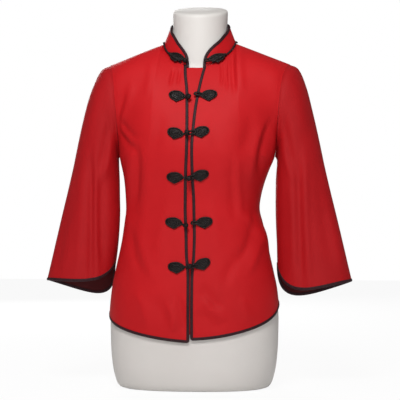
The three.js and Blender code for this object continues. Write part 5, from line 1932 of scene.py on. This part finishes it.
# Dress form ----------------------------------------------------------------------------------
@dataclass
class DressForm:
    """Limbless form to the hips, whole under the jacket, with a flat foot and a sloping neck top."""

    columns: int = 20
    plate: int = 14
    neck_z: float = 778.0
    neck_slope: float = 0.28
    in_chest: float = 7.5
    in_neck_front: float = 6.4
    in_neck_back: float = 4.0
    in_neck_side: float = 4.6
    in_shoulder: float = 2.1
    neck_rows: Table = field(
        default_factory=lambda: Table(
            "k w half front back down",
            [
                (0.0, 0.1, 67.4, 55.6, 51.4, 0),
                (0.15, 0.25, 62.8, 55.0, 49.2, 0),
                (0.35, 0.45, 57.1, 54.3, 46.8, 0),
                (0.6, 0.75, 57.0, 54.0, 46.6, 0),
                (0.86, 1.0, 57.0, 54.0, 46.6, 6),
                (0.93, 1.0, 55.6, 52.4, 45.0, 2),
                (1.0, 1.0, 51.5, 48.5, 41.0, 0),
            ],
        )
    )

    def low_part(self, z: float, side: int, back: bool, u: Array) -> Array:
        """Points of the form at one height below the arms."""
        return BodyForm.section(FORM, side, back, u, np.full(u.shape, z))

    def under_cloth(self, t: float, side: int, back: bool, u: Array) -> Array:
        """The cloth's surface moved in to where the form lies."""
        p = BodyForm.upper(side, back, u, t)
        n = BodyForm.upper_normal(side, back, u, t)
        near = mix(self.in_neck_back if back else self.in_neck_front, self.in_neck_side, u / NECK_SHARE)
        far = mix(self.in_neck_side, self.in_shoulder, (u - NECK_SHARE) / (1 - NECK_SHARE))
        inset = mix(self.in_chest, np.where(u < NECK_SHARE, near, far), t**3)
        if t == 1:
            n = np.where((u >= NECK_SHARE)[..., None], np.array([side * 0.37, 0, 0.93]), n)
        return p - n * inset[..., None]

    def ring(self, at: Callable[[int, bool, Array], Array]) -> Array:
        """One ring, from the middle of the front round by the wearer's left.

        Args:
            at: gives points for a side, whether behind, and shares of the width.

        Returns:
            The ring's points.
        """
        u = share_at(steps(self.columns, self.columns + 4), 0.0)

        def half(side: int) -> Array:
            """Front, armhole plate and back of one side."""
            front, behind = at(side, False, u), at(side, True, u)[::-1]
            s = (np.arange(1, self.plate) / self.plate)[:, None]
            gap = np.linalg.norm(front[-1] - behind[0])
            bulge = min(4, 0.06 * gap) * np.sin(np.pi * s) * np.array([side, 0, 0])
            return np.concatenate([front, mix(front[-1], behind[0], s) + bulge, behind])

        left, right = half(1), half(-1)[::-1]
        return BodyForm.lean(np.concatenate([left, right[1:-1]]))

    def neck_ring(self, k: float) -> Array:
        """One ring of the neck, k 0 at the collar seam and 1 at the top."""
        row = {name: float(self.neck_rows.at(name, k)) for name in ("w", "half", "front", "back", "down")}
        turn = 90 * np.linspace(0, 1, self.columns + 1)

        def half(side: int) -> Array:
            """One side of the ring, front to back."""
            beta = np.concatenate([turn, 180 - turn[::-1]])
            base = BodyForm.neckline(side, beta)
            y = NECK_Y - np.where(beta <= 90, row["front"], row["back"]) * np.cos(np.radians(beta))
            y[self.columns : self.columns + 2] = NECK_Y
            top = self.neck_z + self.neck_slope * (y - NECK_Y) - row["down"]
            return stack(side * row["half"] * np.sin(np.radians(beta)), y, mix(base[..., 2], top, row["w"]))

        left, right = half(1), half(-1)[::-1]
        return BodyForm.lean(np.concatenate([left, right[1:-1]]))

    def build(self, finishes: Finishes) -> bpy.types.Object:
        """Makes the form as one closed skin."""
        heights = np.unique(np.concatenate([FORM.values[:, 0], np.linspace(14, UNDERARM_Z, 58)]))
        heights = heights[np.concatenate([[True], np.diff(heights) > 1.5])]
        rings = [self.ring(partial(self.low_part, z)) for z in heights]
        rings += [self.ring(partial(self.under_cloth, t)) for t in np.linspace(0.03, 1, 44)]
        n = len(rings[0])
        points = list(rings)
        faces = []
        loop = np.arange(n)
        for r in range(len(rings) - 1):
            a, b = r * n + loop, r * n + (loop + 1) % n
            faces += np.stack([a, b, b + n, a + n], axis=-1).tolist()
        faces.append(loop[::-1].tolist())
        start, total = (len(rings) - 1) * n, len(rings) * n
        inner, half = self.columns + 1, n // 2 + 1
        left = list(range(half))
        right = [(2 * half - 2 - i) % n for i in range(half)]
        left, right = (part[:inner] + part[-inner:] for part in (left, right))
        lower = np.array(left + right[::-1][1:-1]) + start
        for k in np.linspace(0, 1, 30):
            ring = self.neck_ring(float(k))
            points.append(ring)
            here = total + np.arange(len(ring))
            faces += np.stack([lower, np.roll(lower, -1), np.roll(here, -1), here], axis=-1).tolist()
            lower, total = here, total + len(ring)
        faces.append(lower.tolist())
        mesh = bpy.data.meshes.new("dress_form_shell")
        mesh.from_pydata((np.concatenate(points) * MM).tolist(), [], faces)
        bm = bmesh.new()
        bm.from_mesh(mesh)
        bmesh.ops.remove_doubles(bm, verts=bm.verts, dist=2e-5)
        bmesh.ops.dissolve_degenerate(bm, edges=bm.edges, dist=1e-6)
        for face in bm.faces:
            face.smooth = True
        bm.to_mesh(mesh)
        bm.free()
        mesh.set_sharp_from_angle(angle=math.radians(60))
        obj = link("dress_form_shell", mesh)
        face_out(obj)
        return settle(obj, finishes.form, Slot.FORM, "dress_form")


# Studio --------------------------------------------------------------------------------------
@dataclass
class Studio:
    """Pale floor, soft lamps and the camera, level with the middle of the jacket."""

    far: float = 3.0
    turn: float = 4.5
    aim: tuple[float, float, float] = (0.0114, 0.0, 0.384)
    view: float = 15.7
    floor: float = 4.0
    floor_under: float = 0.001
    glow: float = 0.93
    air: float = 0.2

    def camera(self) -> None:
        """Adds the camera."""
        data = bpy.data.cameras.new("camera")
        data.sensor_width = 36.0
        data.angle = math.radians(self.view)
        obj = link("camera", data)
        a = math.radians(self.turn)
        x, y, z = self.aim
        obj.location = (x + self.far * math.sin(a), y - self.far * math.cos(a), z)
        obj.rotation_euler = (math.pi / 2, 0, a)
        bpy.context.scene.camera = obj

    def lamp(self, name: str, place: tuple[float, float, float], size: float, power: float) -> None:
        """Adds one large soft lamp turned towards the jacket.

        Args:
            name: the lamp's name.
            place: where it stands, in metres.
            size: width of its face.
            power: watts.
        """
        data = bpy.data.lights.new(name, "AREA")
        data.shape = "SQUARE"
        data.size = size
        data.energy = power
        obj = link(name, data)
        way = np.array([0, 0, 0.4]) - np.array(place)
        obj.location = place
        obj.rotation_euler = (
            math.atan2(float(np.hypot(way[0], way[1])), float(-way[2])),
            0,
            math.atan2(float(way[1]), float(way[0])) - math.pi / 2,
        )

    def _paper(self, tree: bpy.types.NodeTree) -> None:
        """White backdrop paper, lit from below, on which only a faint shadow shows."""
        seen = add_node(tree, "ShaderNodeLightPath").outputs["Is Camera Ray"]
        paper = add_node(tree, "ShaderNodeBsdfDiffuse", Color=linear("#F4F4F4"))
        glow = add_node(tree, "ShaderNodeEmission", Color=(1, 1, 1, 1), Strength=1.0)
        share = add_node(tree, "ShaderNodeMath", {"operation": "MULTIPLY"}, {0: seen, 1: self.glow})
        halves = {0: share.outputs[0], 1: paper.outputs[0], 2: glow.outputs[0]}
        both = add_node(tree, "ShaderNodeMixShader", {}, halves)
        add_node(tree, "ShaderNodeOutputMaterial", {}, {"Surface": both.outputs[0]})

    def _air(self, tree: bpy.types.NodeTree) -> None:
        """Paints the background white to the eye, and lets it light the jacket only dimly."""
        tree.nodes.clear()
        seen = add_node(tree, "ShaderNodeLightPath").outputs["Is Camera Ray"]
        dim = add_node(tree, "ShaderNodeBackground", Color=(1, 1, 1, 1), Strength=self.air)
        white = add_node(tree, "ShaderNodeBackground", Color=(1, 1, 1, 1), Strength=1.0)
        both = add_node(tree, "ShaderNodeMixShader", {}, {0: seen, 1: dim.outputs[0], 2: white.outputs[0]})
        add_node(tree, "ShaderNodeOutputWorld", {}, {"Surface": both.outputs[0]})

    def build(self) -> None:
        """Sets up floor, world, lamps and camera."""
        material, tree = new_material("studio_floor_paint")
        self._paper(tree)
        r, z = self.floor, -self.floor_under
        mesh = bpy.data.meshes.new("studio_floor")
        mesh.from_pydata([(-r, -r, z), (r, -r, z), (r, r, z), (-r, r, z)], [], [(0, 1, 2, 3)])
        floor = link("studio_floor", mesh)
        floor.data.materials.append(material)
        world = bpy.data.worlds.new("studio_air")
        world.use_nodes = True
        self._air(world.node_tree)
        bpy.context.scene.world = world
        self.lamp("key_lamp", (-0.1, -1.5, 1.8), 0.55, 31)
        self.lamp("fill_lamp", (0.6, -2.4, 0.4), 0.9, 8)
        self.lamp("back_lamp", (-0.7, 2.3, 1.1), 1.2, 38)
        self.camera()
        bpy.context.scene.view_settings.view_transform = "Standard"


# Assembly ------------------------------------------------------------------------------------
def build_jacket(finishes: Finishes) -> dict[str, bpy.types.Object]:
    """Makes every piece of the jacket.

    Args:
        finishes: the materials.

    Returns:
        The pieces of cloth by name.
    """
    panels = [
        Panel("right_front", -1),
        Panel("left_front", 1),
        Panel("back", -1, back=True),
    ]
    made = {panel.name: panel.build(finishes) for panel in panels}
    thread = Thread(finishes.satin)
    for panel, name in zip(panels, ("right_front_binding", "left_front_binding", "back_hem_binding")):
        EdgeBinding(name, panel).build(finishes, thread)
    made["underlap"] = Underlap().build(finishes)
    for side in (-1, 1):
        made[side_name(side) + "_sleeve"] = Sleeve(side).build(finishes, thread)[0]
    collar = Collar()
    made["collar"] = collar.build(finishes, thread)[0]
    build_frogs(collar, finishes)
    return made


def main() -> None:
    """Builds the jacket, its form and the studio."""
    logging.basicConfig(level=logging.INFO, format="%(message)s")
    finishes = Finishes()
    form = DressForm().build(finishes)
    made = build_jacket(finishes)
    Studio().build()


if __name__ == "__main__":
    main()
